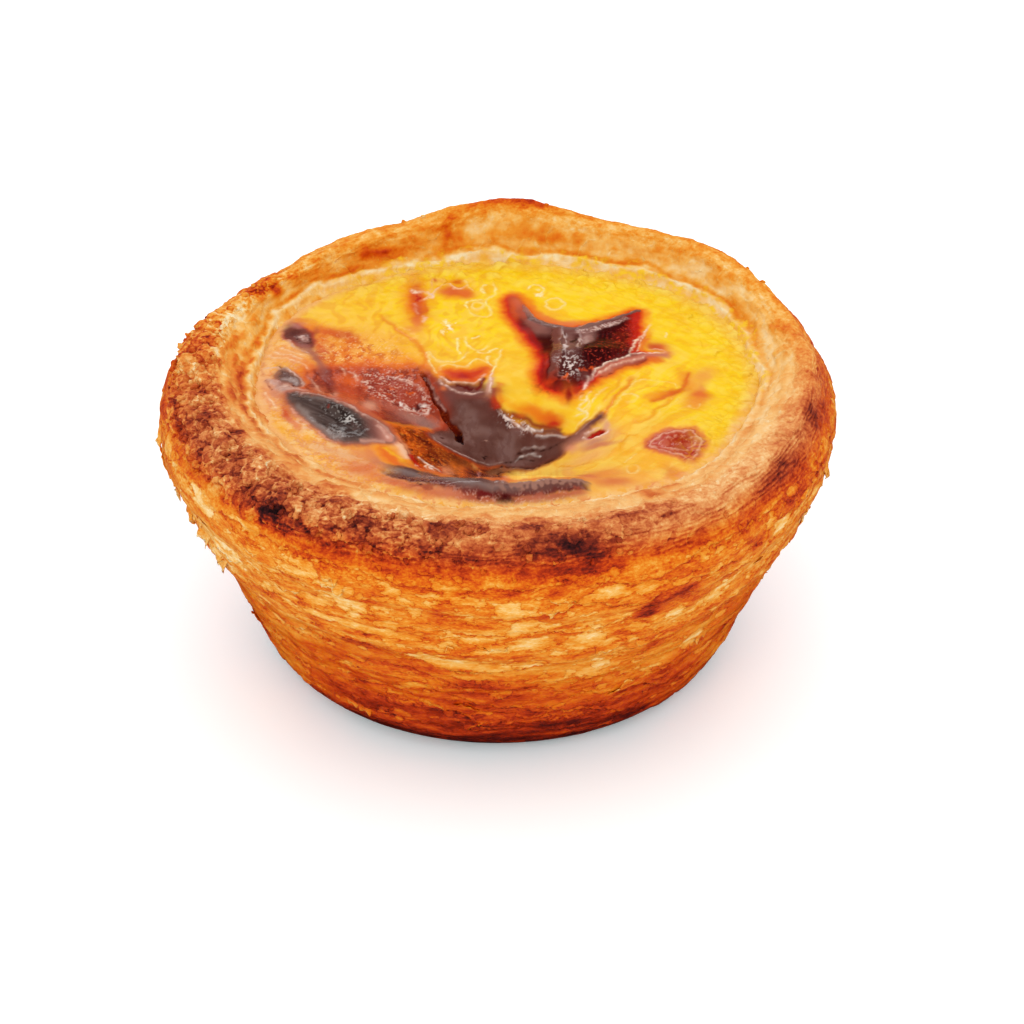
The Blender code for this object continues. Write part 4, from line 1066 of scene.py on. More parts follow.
    # custard right of it, painted brighter as painted light to make up for the shade on the hollow's steep wall
    lit = inside(wx, wy, [(1.0, -11.0), (1.8, -9.8), (3.0, -9.1), (4.8, -8.9), (6.0, -9.2), (7.2, -10.4), (8.0, -12.4), (8.2, -15.0), (8.0, -18.0), (7.2, -20.2), (4.0, -21.0), (1.8, -20.8), (1.2, -17.0), (0.9, -13.6)])
    painted_light = smooth(-0.7, 0.5, lit)
    paint(0.95 * painted_light, (254, 202, 84))
    paint(0.5 * painted_light * smooth(0.1, 0.5, fall), (255, 220, 116))
    paint(0.4 * painted_light * smooth(0.1, 0.5, -fall), (246, 168, 60))
    paint(0.7 * painted_light * smooth(1.6, 1.0, wx), (232, 140, 100))
    paint(0.6 * painted_light * smooth(6.6, 7.8, wx), (246, 158, 80))

    # right of the hollow: folds drawn towards it, the pale strokes along them painted highlights
    zone = smooth(7, 11, x) * smooth(7, 2, y - 0.3 * (x - 10)) * smooth(25, 19, x) * smooth(-20, -15, y)
    drawn = fbm(np.stack([(wx * 0.62 + wy * 0.78) / 6.0, (wx * 0.78 - wy * 0.62) / 1.2, 0 * x + 6], 1), 3, 227)
    paint(0.45 * zone * smooth(0.08, 0.45, drawn), (250, 166, 24))
    paint(0.50 * zone * smooth(0.08, 0.45, -drawn), (254, 212, 90))
    h += 0.06 * zone * drawn
    soft((10.0, -11.0, 2.6, 1.8, 20, 0.7, (246, 172, 104)), (21.0, 2.2, 0.9, 2.6, 18, 0.7, (240, 136, 34)), (22.9, 3.4, 1.2, 2.2, -30, 0.75, (240, 150, 66)), (19.6, 0.0, 1.6, 0.8, 25, 0.95, (222, 88, 10)), (17.6, -1.0, 1.6, 0.8, 20, 0.7, (242, 130, 20)), (22.4, -0.8, 1.0, 1.2, 20, 0.95, (226, 96, 24)),
         (21.8, -2.2, 1.6, 1.4, 30, 0.8, (238, 132, 44)), (22.4, 0.6, 0.6, 1.4, -10, 0.6, (232, 116, 60)), (18.0, 9.2, 1.3, 1.5, -10, 0.9, (224, 100, 50)), (17.4, 9.4, 0.8, 1.0, -20, 0.8, (204, 66, 30)), (16.8, 11.4, 0.6, 2.2, -12, 0.75, (238, 112, 16)), (18.6, 7.8, 1.2, 0.6, 20, 0.7, (226, 100, 60)),
         (3.2, -2.2, 2.6, 0.7, -18, 0.75, (246, 160, 10)), (4.8, -3.0, 2.6, 0.8, -22, 0.8, (236, 110, 8)), (6.2, -3.9, 1.4, 0.9, -20, 0.8, (222, 76, 8)), (11.6, -17.4, 2.8, 2.0, 20, 0.8, (238, 138, 66)), (9.6, -18.8, 1.4, 1.0, 20, 0.8, (220, 110, 74)), (12.6, -19.4, 2.2, 0.8, 10, 0.7, (214, 96, 60)),
         (15.4, -17.8, 1.4, 1.4, 0, 0.6, (246, 160, 54)), (18.8, -17.0, 0.9, 1.8, 10, 0.8, (228, 112, 36)), (19.8, -17.4, 0.8, 1.2, 10, 0.7, (236, 136, 70)), (16.2, -19.6, 1.6, 0.6, 15, 0.7, (226, 124, 76)), (24.8, -5.0, 0.9, 6.0, -8, 0.7, (254, 208, 4)), (23.8, -12.2, 0.5, 2.0, -15, 0.8, (250, 200, 0)))
    lines(([(14.9, 3.4), (14.6, 1.6), (13.6, 0.0), (12.6, -1.8), (12.0, -3.4), (11.4, -4.2)], 0.34, (242, 142, 10), 0.9, -0.05), ([(15.3, 2.6), (14.6, 0.6), (13.4, -1.6), (12.6, -3.2)], 0.2, (255, 212, 96), 0.7, 0.06), ([(13.6, 3.2), (13.4, 1.4), (12.4, -0.4), (11.4, -2.0)], 0.3, (247, 164, 20), 0.7, -0.04),
          ([(21.6, 4.6), (20.8, 2.2), (20.0, 0.4), (18.2, -1.4), (16.6, -2.0)], 0.34, (228, 104, 14), 0.85, -0.05), ([(19.8, -0.4), (18.4, -2.6), (17.2, -3.8), (16.8, -5.2), (15.6, -6.0), (14.6, -5.8)], 0.32, (246, 162, 8), 0.85, -0.05), ([(20.4, -0.8), (19.0, -2.8), (17.9, -4.0), (17.4, -5.4)], 0.16, (255, 216, 104), 0.7, 0.05),
          ([(13.4, -1.4), (14.4, -0.5), (15.6, -1.0), (15.2, -1.9), (13.9, -2.1)], 0.17, (255, 222, 130), 0.85, 0.06), ([(14.4, 1.2), (16.0, 2.2), (17.8, 2.4), (19.5, 1.8), (19.8, 0.8)], 0.15, (255, 220, 120), 0.75, 0.05), ([(15.4, 0.4), (17.0, 1.2), (18.8, 0.9)], 0.22, (248, 168, 30), 0.6, -0.03),
          ([(12.8, -6.8), (14.0, -8.2), (15.4, -8.9)], 0.2, (248, 164, 20), 0.7, -0.04), ([(14.3, -8.2), (13.5, -9.8), (13.2, -11.6)], 0.26, (250, 172, 10), 0.85, -0.05), ([(6.2, -8.9), (7.0, -10.6), (8.6, -12.2), (10.0, -12.9)], 0.24, (247, 160, 8), 0.9, -0.05), ([(13.0, -13.8), (13.8, -14.6), (14.8, -14.4), (15.6, -13.0)], 0.22, (250, 176, 10), 0.7, -0.03),
          ([(14.4, -15.0), (15.5, -16.0), (15.0, -16.9), (14.2, -17.4), (14.1, -16.2), (14.4, -15.0)], 0.16, (255, 214, 130), 0.85, 0.06), ([(13.6, -14.4), (14.2, -13.4), (15.0, -12.6)], 0.14, (255, 222, 130), 0.7, 0.05), ([(18.9, 12.9), (19.0, 12.4), (18.9, 11.7)], 0.14, (255, 244, 200), 0.95, 0.06),
          ([(20.8, -2.6), (21.8, -3.4), (22.4, -2.4)], 0.15, (255, 206, 120), 0.6, 0.05), ([(9.8, -0.2), (9.0, -1.2), (9.8, -1.6), (8.8, -2.6), (9.8, -3.4), (9.4, -4.4), (8.4, -5.4)], 0.16, (255, 230, 170), 0.9, 0.07), ([(12.2, 0.8), (11.0, -0.6), (10.4, -2.2), (9.4, -3.4), (8.2, -3.6)], 0.14, (255, 226, 150), 0.85, 0.06),
          ([(10.6, 0.2), (9.8, -1.0), (10.2, -2.0), (9.4, -2.8), (8.4, -2.4)], 0.13, (255, 232, 180), 0.85, 0.06), ([(11.6, -2.0), (10.8, -3.6), (9.8, -4.8), (9.0, -5.7)], 0.18, (255, 218, 110), 0.8, 0.06), ([(11.9, -2.6), (11.2, -4.0), (10.2, -5.2)], 0.15, (246, 160, 8), 0.7, -0.04))

    # the burnt blister behind the middle
    d = inside(wx, wy, BACK_BURN)
    on_left = smooth(7.0, 3.5, wx + 0.28 * (wy - 10))
    halo(d + 0.14 * n1 + 0.35 * on_left - 0.1, [(-1.7, (253, 186, 10), 0.0), (-1.0, (247, 146, 6), 0.75), (-0.45, (236, 94, 2), 0.95), (-0.05, (214, 36, 0), 1.0), (0.35, (160, 8, 0), 1.0), (0.9, (96, 2, 0), 1.0), (1.7, (70, 0, 2), 1.0)])
    inner = smooth(-0.2, 0.5, d)
    h += 0.10 * smooth(-0.5, 0.6, d)
    dark = inside(rx, ry, BACK_DARK)
    deep = smooth(-0.2, 0.6, dark)
    glow = smooth(11.5, 15.5, wx)
    seams = noise(np.stack([x / 0.30, y / 3.0, 0 * x + 7], 1), 241)
    paint(0.95 * deep, (60, 0, 3))
    paint(0.75 * deep * glow, (138, 8, 2))
    paint(0.55 * deep * smooth(0.1, 0.5, seams), (112, 4, 2))
    paint(0.60 * deep * smooth(0.1, 0.5, -seams), (40, 0, 2))
    paint(0.8 * deep * smooth(0.36, 0.52, specks) * smooth(9, 14, wx + 0.4 * (10 - wy)), (214, 60, 30))
    h -= 0.22 * deep
    paint(0.85 * inner * np.exp(-(((wx - 15.3 - 0.05 * (wy - 11)) / 0.55) ** 2)) * smooth(7.0, 9.0, wy), (204, 28, 0))
    # glow over the ridge and down the horn
    soft((2.2, 19.2, 0.75, 2.2, 8, 0.95, (216, 100, 66)), (2.7, 16.6, 0.7, 2.0, 22, 0.8, (190, 84, 60)), (1.8, 17.6, 0.4, 2.8, 6, 0.6, (226, 84, 10)), (4.0, 18.0, 0.8, 2.4, 24, 0.75, (238, 116, 20)), (5.6, 16.0, 1.6, 0.8, -38, 0.85, (236, 116, 50)), (7.8, 14.9, 1.8, 0.7, -8, 0.85, (236, 122, 66)), (9.6, 14.9, 1.0, 0.5, 20, 0.6, (238, 120, 40)),
         (3.2, 20.0, 0.6, 1.4, 20, 0.5, (246, 150, 20)), (6.4, 17.0, 1.8, 0.8, -35, 0.5, (250, 172, 40)))
    soft((4.9, 13.0, 1.3, 1.5, -20, 0.95, (148, 92, 82)), (3.9, 14.4, 0.6, 1.4, 20, 0.85, (158, 92, 80)), (6.6, 12.8, 1.4, 0.6, 0, 0.9, (120, 66, 58)), (9.6, 12.7, 1.4, 0.5, 25, 0.8, (160, 112, 102)))
    soft((4.0, 11.2, 0.35, 2.2, 15, 0.85, (160, 6, 0)), (5.4, 8.6, 0.4, 2.6, 8, 0.9, (70, 0, 0)), (5.9, 5.0, 0.4, 2.2, 0, 0.85, (104, 8, 6)), (5.4, 4.6, 0.3, 2.4, -4, 0.6, (206, 40, 0)))
    # its ridge, a thin ribbon of grey skin that is partly painted sheen, with a painted highlight along its upper edge
    # and darker along its lower, and the paler band under its right arm
    e, along, above = beside(wx, wy, [(2.9, 18.6), (3.4, 16.6), (4.4, 15.0), (5.9, 13.9), (8.0, 13.3), (9.6, 13.6), (11.2, 14.5), (12.8, 15.5), (14.4, 16.5), (15.9, 17.6)])
    width = np.interp(along, [0, 0.12, 0.35, 0.6, 0.85, 1.0], [0.25, 0.45, 0.60, 0.50, 0.34, 0.12])
    ribbon = smooth(1.2, 0.8, e / width) * smooth(-0.02, 0.08, along)
    h += 0.22 * np.exp(-((e / width / 0.85) ** 2))
    paint(0.95 * ribbon, (134, 98, 92))
    paint(0.80 * ribbon * smooth(0.35, 0.9, e / width) * (above > 0), (186, 152, 144))
    paint(0.60 * ribbon * smooth(0.3, 0.9, e / width) * (above < 0), (104, 60, 54))
    paint(0.7 * ribbon * smooth(0.18, 0.0, along), (200, 122, 104))
    wet(ribbon, 0.9, 0.2)
    e, along, _ = beside(wx, wy, [(8.8, 12.5), (10.4, 13.1), (12.0, 14.0), (13.6, 14.9), (15.0, 16.2)])
    band = smooth(0.55, 0.25, e) * smooth(0.0, 0.1, along) * smooth(1.0, 0.8, along)
    paint(0.9 * band, (176, 132, 122))
    paint(0.7 * band * smooth(0.05, 0.35, specks), (226, 196, 186))
    paint(0.6 * band * smooth(0.1, 0.4, -specks), (96, 44, 40))
    h += 0.08 * band
    wet(band, 0.8, 0.2)
    # the folded pillar that stands in it, its grey partly painted sheen, with painted highlight streaks down its
    # creases
    pillar = smooth(0.75, 0.45, np.abs(wx - np.interp(wy, [1.8, 4.0, 8.0, 12.5], [6.2, 6.5, 6.6, 6.7])) / np.interp(wy, [1.8, 4.0, 8.0, 12.5], [1.0, 1.0, 0.85, 1.1])) * smooth(1.4, 2.6, wy) * smooth(13.4, 12.6, wy)
    paint(0.95 * pillar, (122, 66, 56))
    paint(0.6 * pillar * smooth(6.6, 7.2, wx), (150, 96, 86))
    h += 0.20 * pillar
    wet(pillar, 0.5, 0.25)
    soft((8.0, 9.0, 0.9, 3.8, 2, 0.9, (146, 98, 90)), (9.4, 9.6, 0.5, 3.0, -6, 0.75, (150, 96, 88)), (10.2, 11.4, 0.7, 1.3, -20, 0.8, (176, 124, 114)), (9.8, 10.6, 0.3, 1.4, -10, 0.5, (206, 170, 160)))
    crease_highlights = smooth(0.0, 0.35, noise(np.stack([x / 0.25, y / 1.6, 0 * x + 9], 1), 245) + 0.25)
    paint(0.95 * crease_highlights * dab(7.45, 9.2, 0.34, 3.4, 1, 2.0), (230, 208, 204))
    paint(0.9 * crease_highlights * dab(9.05, 9.2, 0.30, 2.8, -5, 2.0), (214, 182, 174))
    torn((8.6, 10.2, 0.24, 0.7, -4, 0.95, (50, 12, 10)), (8.5, 12.0, 0.3, 0.5, 0, 0.7, (112, 62, 56)))
    h += 0.07 * dab(7.45, 9.2, 0.34, 3.4, 1) + 0.06 * dab(9.05, 9.2, 0.3, 2.8, -5)
    burst = dab(8.0, 3.8, 1.2, 1.8, 10, 1.3, True)
    paint(0.5 * burst, (120, 62, 56))
    paint(0.9 * burst * smooth(0.10, 0.34, specks), (240, 222, 214))
    paint(0.7 * burst * smooth(0.15, 0.4, -specks), (60, 14, 10))
    h += 0.05 * burst * n05
    low = dab(7.4, 1.0, 3.0, 1.6, 0)
    paint(0.65 * low * smooth(0.0, 0.4, n1 + 0.5 * n05), (206, 50, 4))
    paint(0.7 * low * smooth(0.05, 0.4, -n05 - 0.3 * n1), (104, 8, 2))
    torn((7.8, 2.2, 0.3, 0.3, 0, 0.95, (236, 96, 16)), (9.8, 3.0, 0.3, 0.3, 0, 0.9, (222, 74, 14)), (10.6, 3.4, 0.22, 0.3, 0, 0.9, (222, 84, 24)), (9.2, 3.0, 0.2, 0.2, 0, 0.8, (200, 60, 10)), (9.6, 2.2, 0.9, 0.6, 40, 0.7, (112, 56, 50)))
    soft((7.9, -0.6, 1.0, 1.6, 0, 0.75, (240, 116, 6)), (7.9, -0.4, 0.4, 1.3, 0, 0.95, (150, 12, 0)), (7.0, 0.6, 0.5, 0.8, 0, 0.6, (150, 16, 0)), (8.7, 0.2, 0.4, 0.8, 0, 0.7, (190, 40, 6)), (5.6, 1.2, 0.6, 0.8, 30, 0.6, (214, 60, 4)))
    # folds of skin pulled off its right end: pale lines of painted highlight along the creases, a pink brown band,
    # dark red under them
    lines(([(11.2, 2.6), (13.2, 4.0), (15.2, 5.3), (17.0, 6.2), (18.8, 6.8)], 0.5, (236, 112, 20), 0.85, -0.03), ([(11.2, 2.9), (13.2, 4.3), (15.2, 5.6), (17.0, 6.5)], 0.30, (140, 24, 12), 0.9, -0.05), ([(10.8, 2.5), (12.6, 4.0), (14.6, 5.6), (16.2, 6.7), (18.0, 7.4), (19.4, 7.9)], 0.42, (204, 120, 98), 0.95, 0.10),
          ([(14.9, 6.6), (15.3, 8.2), (15.9, 10.2), (16.4, 12.2)], 0.34, (206, 44, 6), 0.9, -0.04), ([(16.2, 8.0), (16.4, 9.8), (16.8, 11.4)], 0.3, (236, 116, 40), 0.8, 0.03), ([(12.0, 4.9), (13.4, 6.0), (14.4, 7.0)], 0.3, (110, 14, 6), 0.8, -0.05),
          ([(10.1, 1.4), (10.7, 2.9), (12.0, 4.3), (13.6, 5.5), (14.7, 6.5), (15.6, 7.1), (17.4, 7.8), (19.1, 8.3)], 0.15, (252, 222, 200), 0.95, 0.09), ([(10.5, 2.1), (12.2, 3.7), (13.9, 5.0), (15.4, 6.0), (16.8, 6.9)], 0.12, (246, 196, 170), 0.9, 0.07), ([(11.0, 2.2), (12.8, 3.5), (14.6, 4.8), (16.4, 6.0)], 0.10, (120, 30, 20), 0.7, -0.03),
          ([(14.6, 6.3), (14.9, 7.9), (15.5, 9.9), (16.1, 11.8), (16.8, 13.6), (17.4, 15.0)], 0.15, (253, 226, 196), 0.95, 0.09), ([(15.5, 7.3), (15.9, 9.0), (16.1, 10.7), (16.5, 12.5), (17.0, 13.8)], 0.12, (252, 206, 170), 0.9, 0.07), ([(16.8, 8.6), (17.6, 8.9), (18.6, 8.5)], 0.14, (250, 190, 150), 0.8, 0.05),
          ([(10.0, 2.6), (9.9, 1.4), (9.6, 0.2)], 0.2, (250, 222, 204), 0.9, 0.08))

    # the pool of dark caramel in the hollow: its mauve grey is partly painted reflection over the dark caramel, and
    # its paler mottling and light lines are painted sheen and highlights
    pool = inside(wx, wy, POOL)
    halo(pool + 0.12 * n1, [(-0.9, (216, 80, 14), 0.0), (-0.4, (160, 44, 14), 0.7), (0.05, (116, 56, 42), 1.0), (0.5, (110, 68, 60), 1.0), (1.4, (114, 76, 68), 1.0), (2.6, (120, 82, 74), 1.0)])
    calm = smooth(-0.25, 0.4, pool)
    wet(calm, 1.4, 0.12)
    paint(0.45 * calm * smooth(-0.1, 0.5, n2), (138, 104, 98))
    paint(0.50 * calm * smooth(-0.1, 0.5, -n2), (88, 46, 38))
    paint(0.30 * calm * smooth(0.0, 0.4, -flow), (86, 40, 32))
    soft((-1.0, -2.4, 2.2, 1.0, -30, 0.6, (98, 50, 42)), (5.0, -6.0, 2.6, 0.8, -12, 0.6, (104, 58, 48)), (6.4, -7.6, 2.0, 0.7, 12, 0.7, (96, 48, 38)), (-6.1, -6.7, 1.2, 0.9, 0, 0.85, (146, 104, 96)), (-5.9, -6.4, 0.25, 0.3, 0, 0.9, (70, 26, 22)), (0.6, -9.3, 1.8, 0.7, 10, 0.7, (112, 62, 40)), (-5.6, 0.0, 1.0, 1.0, 0, 0.5, (120, 70, 64)))
    lines(([(2.0, -6.7), (4.0, -6.75), (6.0, -6.9), (7.8, -6.6)], 0.16, (56, 20, 12), 0.9, -0.03), ([(2.6, -6.4), (4.0, -6.45), (5.4, -6.5)], 0.13, (184, 160, 152), 0.8, 0.02), ([(1.6, -7.7), (3.0, -7.1), (4.3, -7.2), (4.7, -7.7)], 0.13, (206, 190, 184), 0.9, 0.03), ([(0.4, -8.1), (2.0, -7.4), (3.2, -7.6), (4.2, -7.9)], 0.16, (60, 26, 16), 0.85, -0.03),
          ([(-7.1, -6.7), (-6.4, -7.7), (-5.0, -8.2), (-3.4, -8.4), (-2.2, -8.8)], 0.14, (196, 160, 150), 0.85, 0.05), ([(-3.4, -8.4), (-2.0, -8.6), (-0.6, -8.2), (0.8, -7.8)], 0.14, (160, 130, 120), 0.7, 0.03), ([(-0.4, -8.7), (1.4, -8.5), (3.2, -8.9), (5.2, -8.9), (6.8, -8.4)], 0.22, (66, 22, 12), 0.85, -0.03), ([(0.2, -9.0), (1.8, -8.8), (3.0, -9.0)], 0.14, (150, 96, 66), 0.8, 0.03),
          ([(-0.9, -9.6), (-0.2, -9.0), (0.8, -8.6)], 0.12, (54, 18, 12), 0.8, -0.03), ([(0.0, -10.4), (0.4, -9.6), (1.6, -9.2)], 0.14, (58, 20, 14), 0.8, -0.03), ([(7.6, -7.2), (8.8, -6.3), (10.0, -5.5), (11.0, -4.6), (11.4, -4.1)], 0.34, (108, 56, 50), 0.95, 0.06), ([(8.4, -6.2), (9.8, -5.3), (10.8, -4.5)], 0.12, (188, 140, 124), 0.7, 0.03))
    torn((-1.3, -7.8, 0.26, 0.18, 0, 0.9, (36, 10, 8)), (-1.2, -5.8, 0.4, 0.14, 0, 0.9, (176, 130, 114)), (1.2, -3.8, 0.24, 0.18, 0, 0.8, (60, 12, 10)))
    # the scorched lip along its far side, with broken bright points of painted highlight
    lines(([(1.0, -2.6), (2.8, -3.3), (4.6, -4.2), (6.4, -4.9), (7.2, -5.4)], 0.42, (146, 34, 14), 0.9, 0.03), ([(2.4, -3.9), (4.2, -4.7), (6.0, -5.2), (7.4, -5.8)], 0.3, (120, 62, 52), 0.85, 0.04), ([(-0.3, 0.8), (-0.4, -0.8), (0.2, -2.2)], 0.5, (190, 38, 8), 0.9, 0.0), ([(0.2, 1.6), (0.2, 0.0), (0.7, -1.6)], 0.5, (240, 124, 12), 0.7, 0.0))
    soft((6.3, -4.3, 0.7, 0.4, -10, 0.9, (196, 30, 6)), (2.8, -3.0, 0.7, 0.3, -15, 0.6, (206, 70, 10)))
    for line in ([(0.4, -2.9), (1.2, -3.5), (2.0, -3.7), (2.7, -4.4), (3.4, -4.6), (4.0, -5.1)], [(4.0, -5.1), (5.2, -5.5), (6.6, -5.8), (7.9, -6.1)], [(3.2, -4.2), (4.0, -4.6), (5.2, -4.9)]):
        stroke(line, 0.15, (250, 232, 224), 0.95, 0.06, 0.7)
    paint(0.9 * dab(1.8, -3.7, 1.8, 0.5, -32, 1.3, True) * smooth(0.16, 0.4, specks), (244, 220, 210))

    # the V of dark cuts and folds behind the pool, the folds' bright lines painted highlights
    vee = inside(wx, wy, [(-6.6, 4.4), (-5.4, 4.6), (-4.2, 4.4), (-2.8, 4.8), (-1.4, 4.9), (-0.9, 3.8), (-1.6, 2.6), (-2.4, 1.8), (-3.8, 1.8), (-5.0, 2.0), (-6.0, 3.2)])
    halo(vee, [(-0.9, (250, 176, 14), 0.0), (-0.3, (244, 140, 4), 0.8), (0.3, (232, 96, 0), 0.95), (1.0, (212, 56, 0), 1.0)])
    soft((-3.3, 0.9, 3.2, 1.0, -6, 0.98, (128, 64, 52)), (-3.2, 0.2, 3.0, 0.8, -4, 0.95, (118, 66, 58)), (-3.6, 5.3, 2.4, 0.7, 0, 0.8, (248, 174, 10)), (-3.9, 2.9, 0.8, 0.4, 0, 0.95, (182, 14, 0)), (-5.0, 3.2, 0.7, 0.4, -30, 0.6, (206, 50, 4)), (-4.6, 0.9, 1.8, 0.5, -22, 0.9, (128, 66, 56)), (-6.4, 2.0, 0.8, 1.0, -30, 0.9, (126, 62, 54)), (-5.4, -0.2, 0.9, 0.9, -30, 0.8, (116, 70, 64)), (-2.6, -0.2, 1.6, 0.5, 0, 0.8, (124, 68, 60)),
         (-0.9, 1.2, 0.42, 1.5, -8, 0.95, (214, 154, 134)), (-6.0, 1.2, 0.3, 0.4, 0, 0.9, (214, 110, 60)), (-7.4, 2.6, 0.7, 1.6, 20, 0.7, (150, 52, 30)))
    lines(([(-6.0, 3.3), (-5.5, 2.5), (-5.0, 1.9)], 0.22, (150, 8, 2), 0.95, -0.08), ([(-4.6, 1.5), (-3.6, 1.1), (-2.7, 0.7)], 0.26, (100, 6, 4), 0.95, -0.1), ([(-2.6, 0.6), (-1.9, 1.5), (-1.5, 2.9)], 0.28, (122, 6, 2), 0.95, -0.1),
          ([(-6.5, 3.7), (-5.7, 2.4), (-5.0, 1.9), (-3.6, 1.8), (-2.6, 1.7), (-2.0, 2.3), (-1.3, 3.5)], 0.15, (252, 214, 190), 0.95, 0.09), ([(-6.6, 3.0), (-5.8, 1.7), (-5.0, 0.9), (-3.8, 0.3), (-2.6, 0.1), (-1.4, 0.3)], 0.15, (236, 196, 180), 0.9, 0.08), ([(-0.6, 3.8), (-0.9, 2.4), (-0.8, 1.0), (-0.9, -0.2)], 0.15, (250, 214, 196), 0.9, 0.08))

    # the slit that runs into the pool
    e, along, _ = beside(wx, wy, [(-8.6, 4.2), (-7.7, 2.0), (-6.9, 0.1), (-6.0, -1.7), (-5.2, -3.4), (-4.4, -5.0), (-3.8, -6.2)])
    wide = np.interp(along, [0, 0.3, 0.7, 0.92, 1.0], [0.22, 0.34, 0.42, 0.55, 0.2])
    slit = smooth(1.15, 0.75, e / wide) * smooth(0.0, 0.12, along)
    paint(0.7 * np.exp(-((e / 0.9) ** 2)) * smooth(0.0, 0.15, along) * smooth(0.75, 0.4, along), (166, 50, 20))
    h -= 0.22 * slit
    paint(slit, (92, 16, 2))
    paint(0.55 * slit * smooth(0.0, 0.4, n05) * smooth(0.6, 0.9, along), (206, 92, 20))
    paint(0.25 * slit * smooth(0.2, 0.45, specks), (176, 70, 20))
    paint(0.95 * slit * smooth(0.72, 0.88, along), (26, 4, 6))
    stroke([(-8.0, 3.2), (-7.2, 1.4), (-6.4, -0.4), (-5.6, -2.0)], 0.12, (206, 150, 136), 0.7, 0.04, 0.6)
    wet(slit, 0.8, 0.14)

    # the long leaf-shaped blister at the left: its grey is partly painted sheen over dark skin, its pale speckles and
    # the thin light line along its top are painted highlights, and the grey band along its lower edge is painted sheen
    roll = inside(wx, wy, PALE_ROLL)
    paint(0.9 * smooth(-0.4, 0.5, roll), (206, 164, 152))
    paint(0.6 * smooth(0.1, 0.9, roll) * smooth(0.0, 0.4, n1), (156, 122, 114))
    h += 0.14 * smooth(-0.3, 0.8, roll)
    wet(smooth(-0.3, 0.5, roll), 0.8, 0.22)
    soft((-22.7, -0.9, 1.3, 0.6, -50, 0.8, (196, 158, 148)), (-24.4, -0.6, 0.5, 1.4, 15, 0.6, (206, 130, 106)))
    d = inside(wx, wy, BLISTER)
    halo(d + 0.08 * n1, [(-1.1, (222, 116, 60), 0.0), (-0.45, (184, 90, 62), 0.75), (-0.1, (140, 84, 72), 0.95), (0.3, (104, 80, 74), 1.0), (0.9, (84, 66, 62), 1.0), (1.8, (66, 50, 47), 1.0)])
    leaf = smooth(-0.25, 0.3, d)
    h += 0.22 * smooth(-0.2, 1.2, d)
    grain_ = noise(np.stack([(x * 0.78 - y * 0.62) / 1.9, (x * 0.62 + y * 0.78) / 0.24, 0 * x], 1), 243)
    core = dab(-16.9, -6.5, 2.6, 1.0, -38, 1.4) * leaf
    paint(0.9 * core, (42, 32, 30))
    paint(0.35 * leaf * smooth(0.05, 0.4, grain_), (112, 96, 92))
    paint(0.8 * core * smooth(0.26, 0.44, specks), (150, 142, 138))
    paint(0.9 * leaf * smooth(-15.2, -13.2, x + 0.2 * y + 1.4), (142, 84, 74))
    paint(0.9 * leaf * smooth(-13.9, -12.0, x + 0.2 * y + 1.4), (222, 150, 130))
    leaf_glints = dab(-16.0, -7.2, 1.0, 0.6, -30, 1.5, True)
    paint(0.9 * leaf_glints * smooth(0.0, 0.25, specks), (214, 208, 204))
    paint(0.7 * dab(-17.2, -8.8, 1.3, 0.6, -35, 1.5, True) * smooth(-0.05, 0.3, specks), (160, 148, 144))
    torn((-18.5, -5.0, 0.18, 0.2, 0, 0.9, (130, 50, 40)), (-15.4, -8.0, 0.9, 0.4, -30, 0.6, (96, 70, 66)))
    wet(leaf, 1.1, 0.16)
    lines(([(-22.4, -3.0), (-21.2, -4.8), (-20.2, -6.3), (-19.4, -7.5), (-18.6, -8.7), (-17.6, -9.7), (-16.4, -10.1)], 0.34, (146, 128, 122), 0.8, 0.08), ([(-22.9, -0.9), (-20.6, -1.7), (-19.2, -2.8), (-17.6, -4.2), (-15.8, -5.5), (-14.0, -6.6), (-12.4, -7.6), (-11.5, -8.7), (-11.0, -9.6)], 0.13, (214, 164, 146), 0.9, 0.07),
          ([(-21.4, -2.0), (-19.8, -3.0), (-18.4, -4.2)], 0.30, (122, 106, 102), 0.6, 0.05), ([(-19.6, -6.2), (-18.4, -7.8), (-17.0, -8.6)], 0.16, (44, 30, 28), 0.7, -0.05), ([(-23.2, -2.8), (-22.0, -4.9), (-20.8, -6.8), (-19.4, -8.8), (-18.2, -10.2), (-16.4, -11.0)], 0.2, (234, 162, 134), 0.7, 0.04),
          ([(-21.9, -6.0), (-20.6, -8.0), (-19.2, -9.6)], 0.14, (244, 196, 160), 0.7, 0.04), ([(-13.2, -7.6), (-12.2, -8.6), (-11.8, -9.8)], 0.2, (240, 190, 172), 0.8, 0.05), ([(-15.0, -10.4), (-13.2, -10.2), (-12.0, -10.4)], 0.3, (206, 150, 132), 0.8, 0.03))
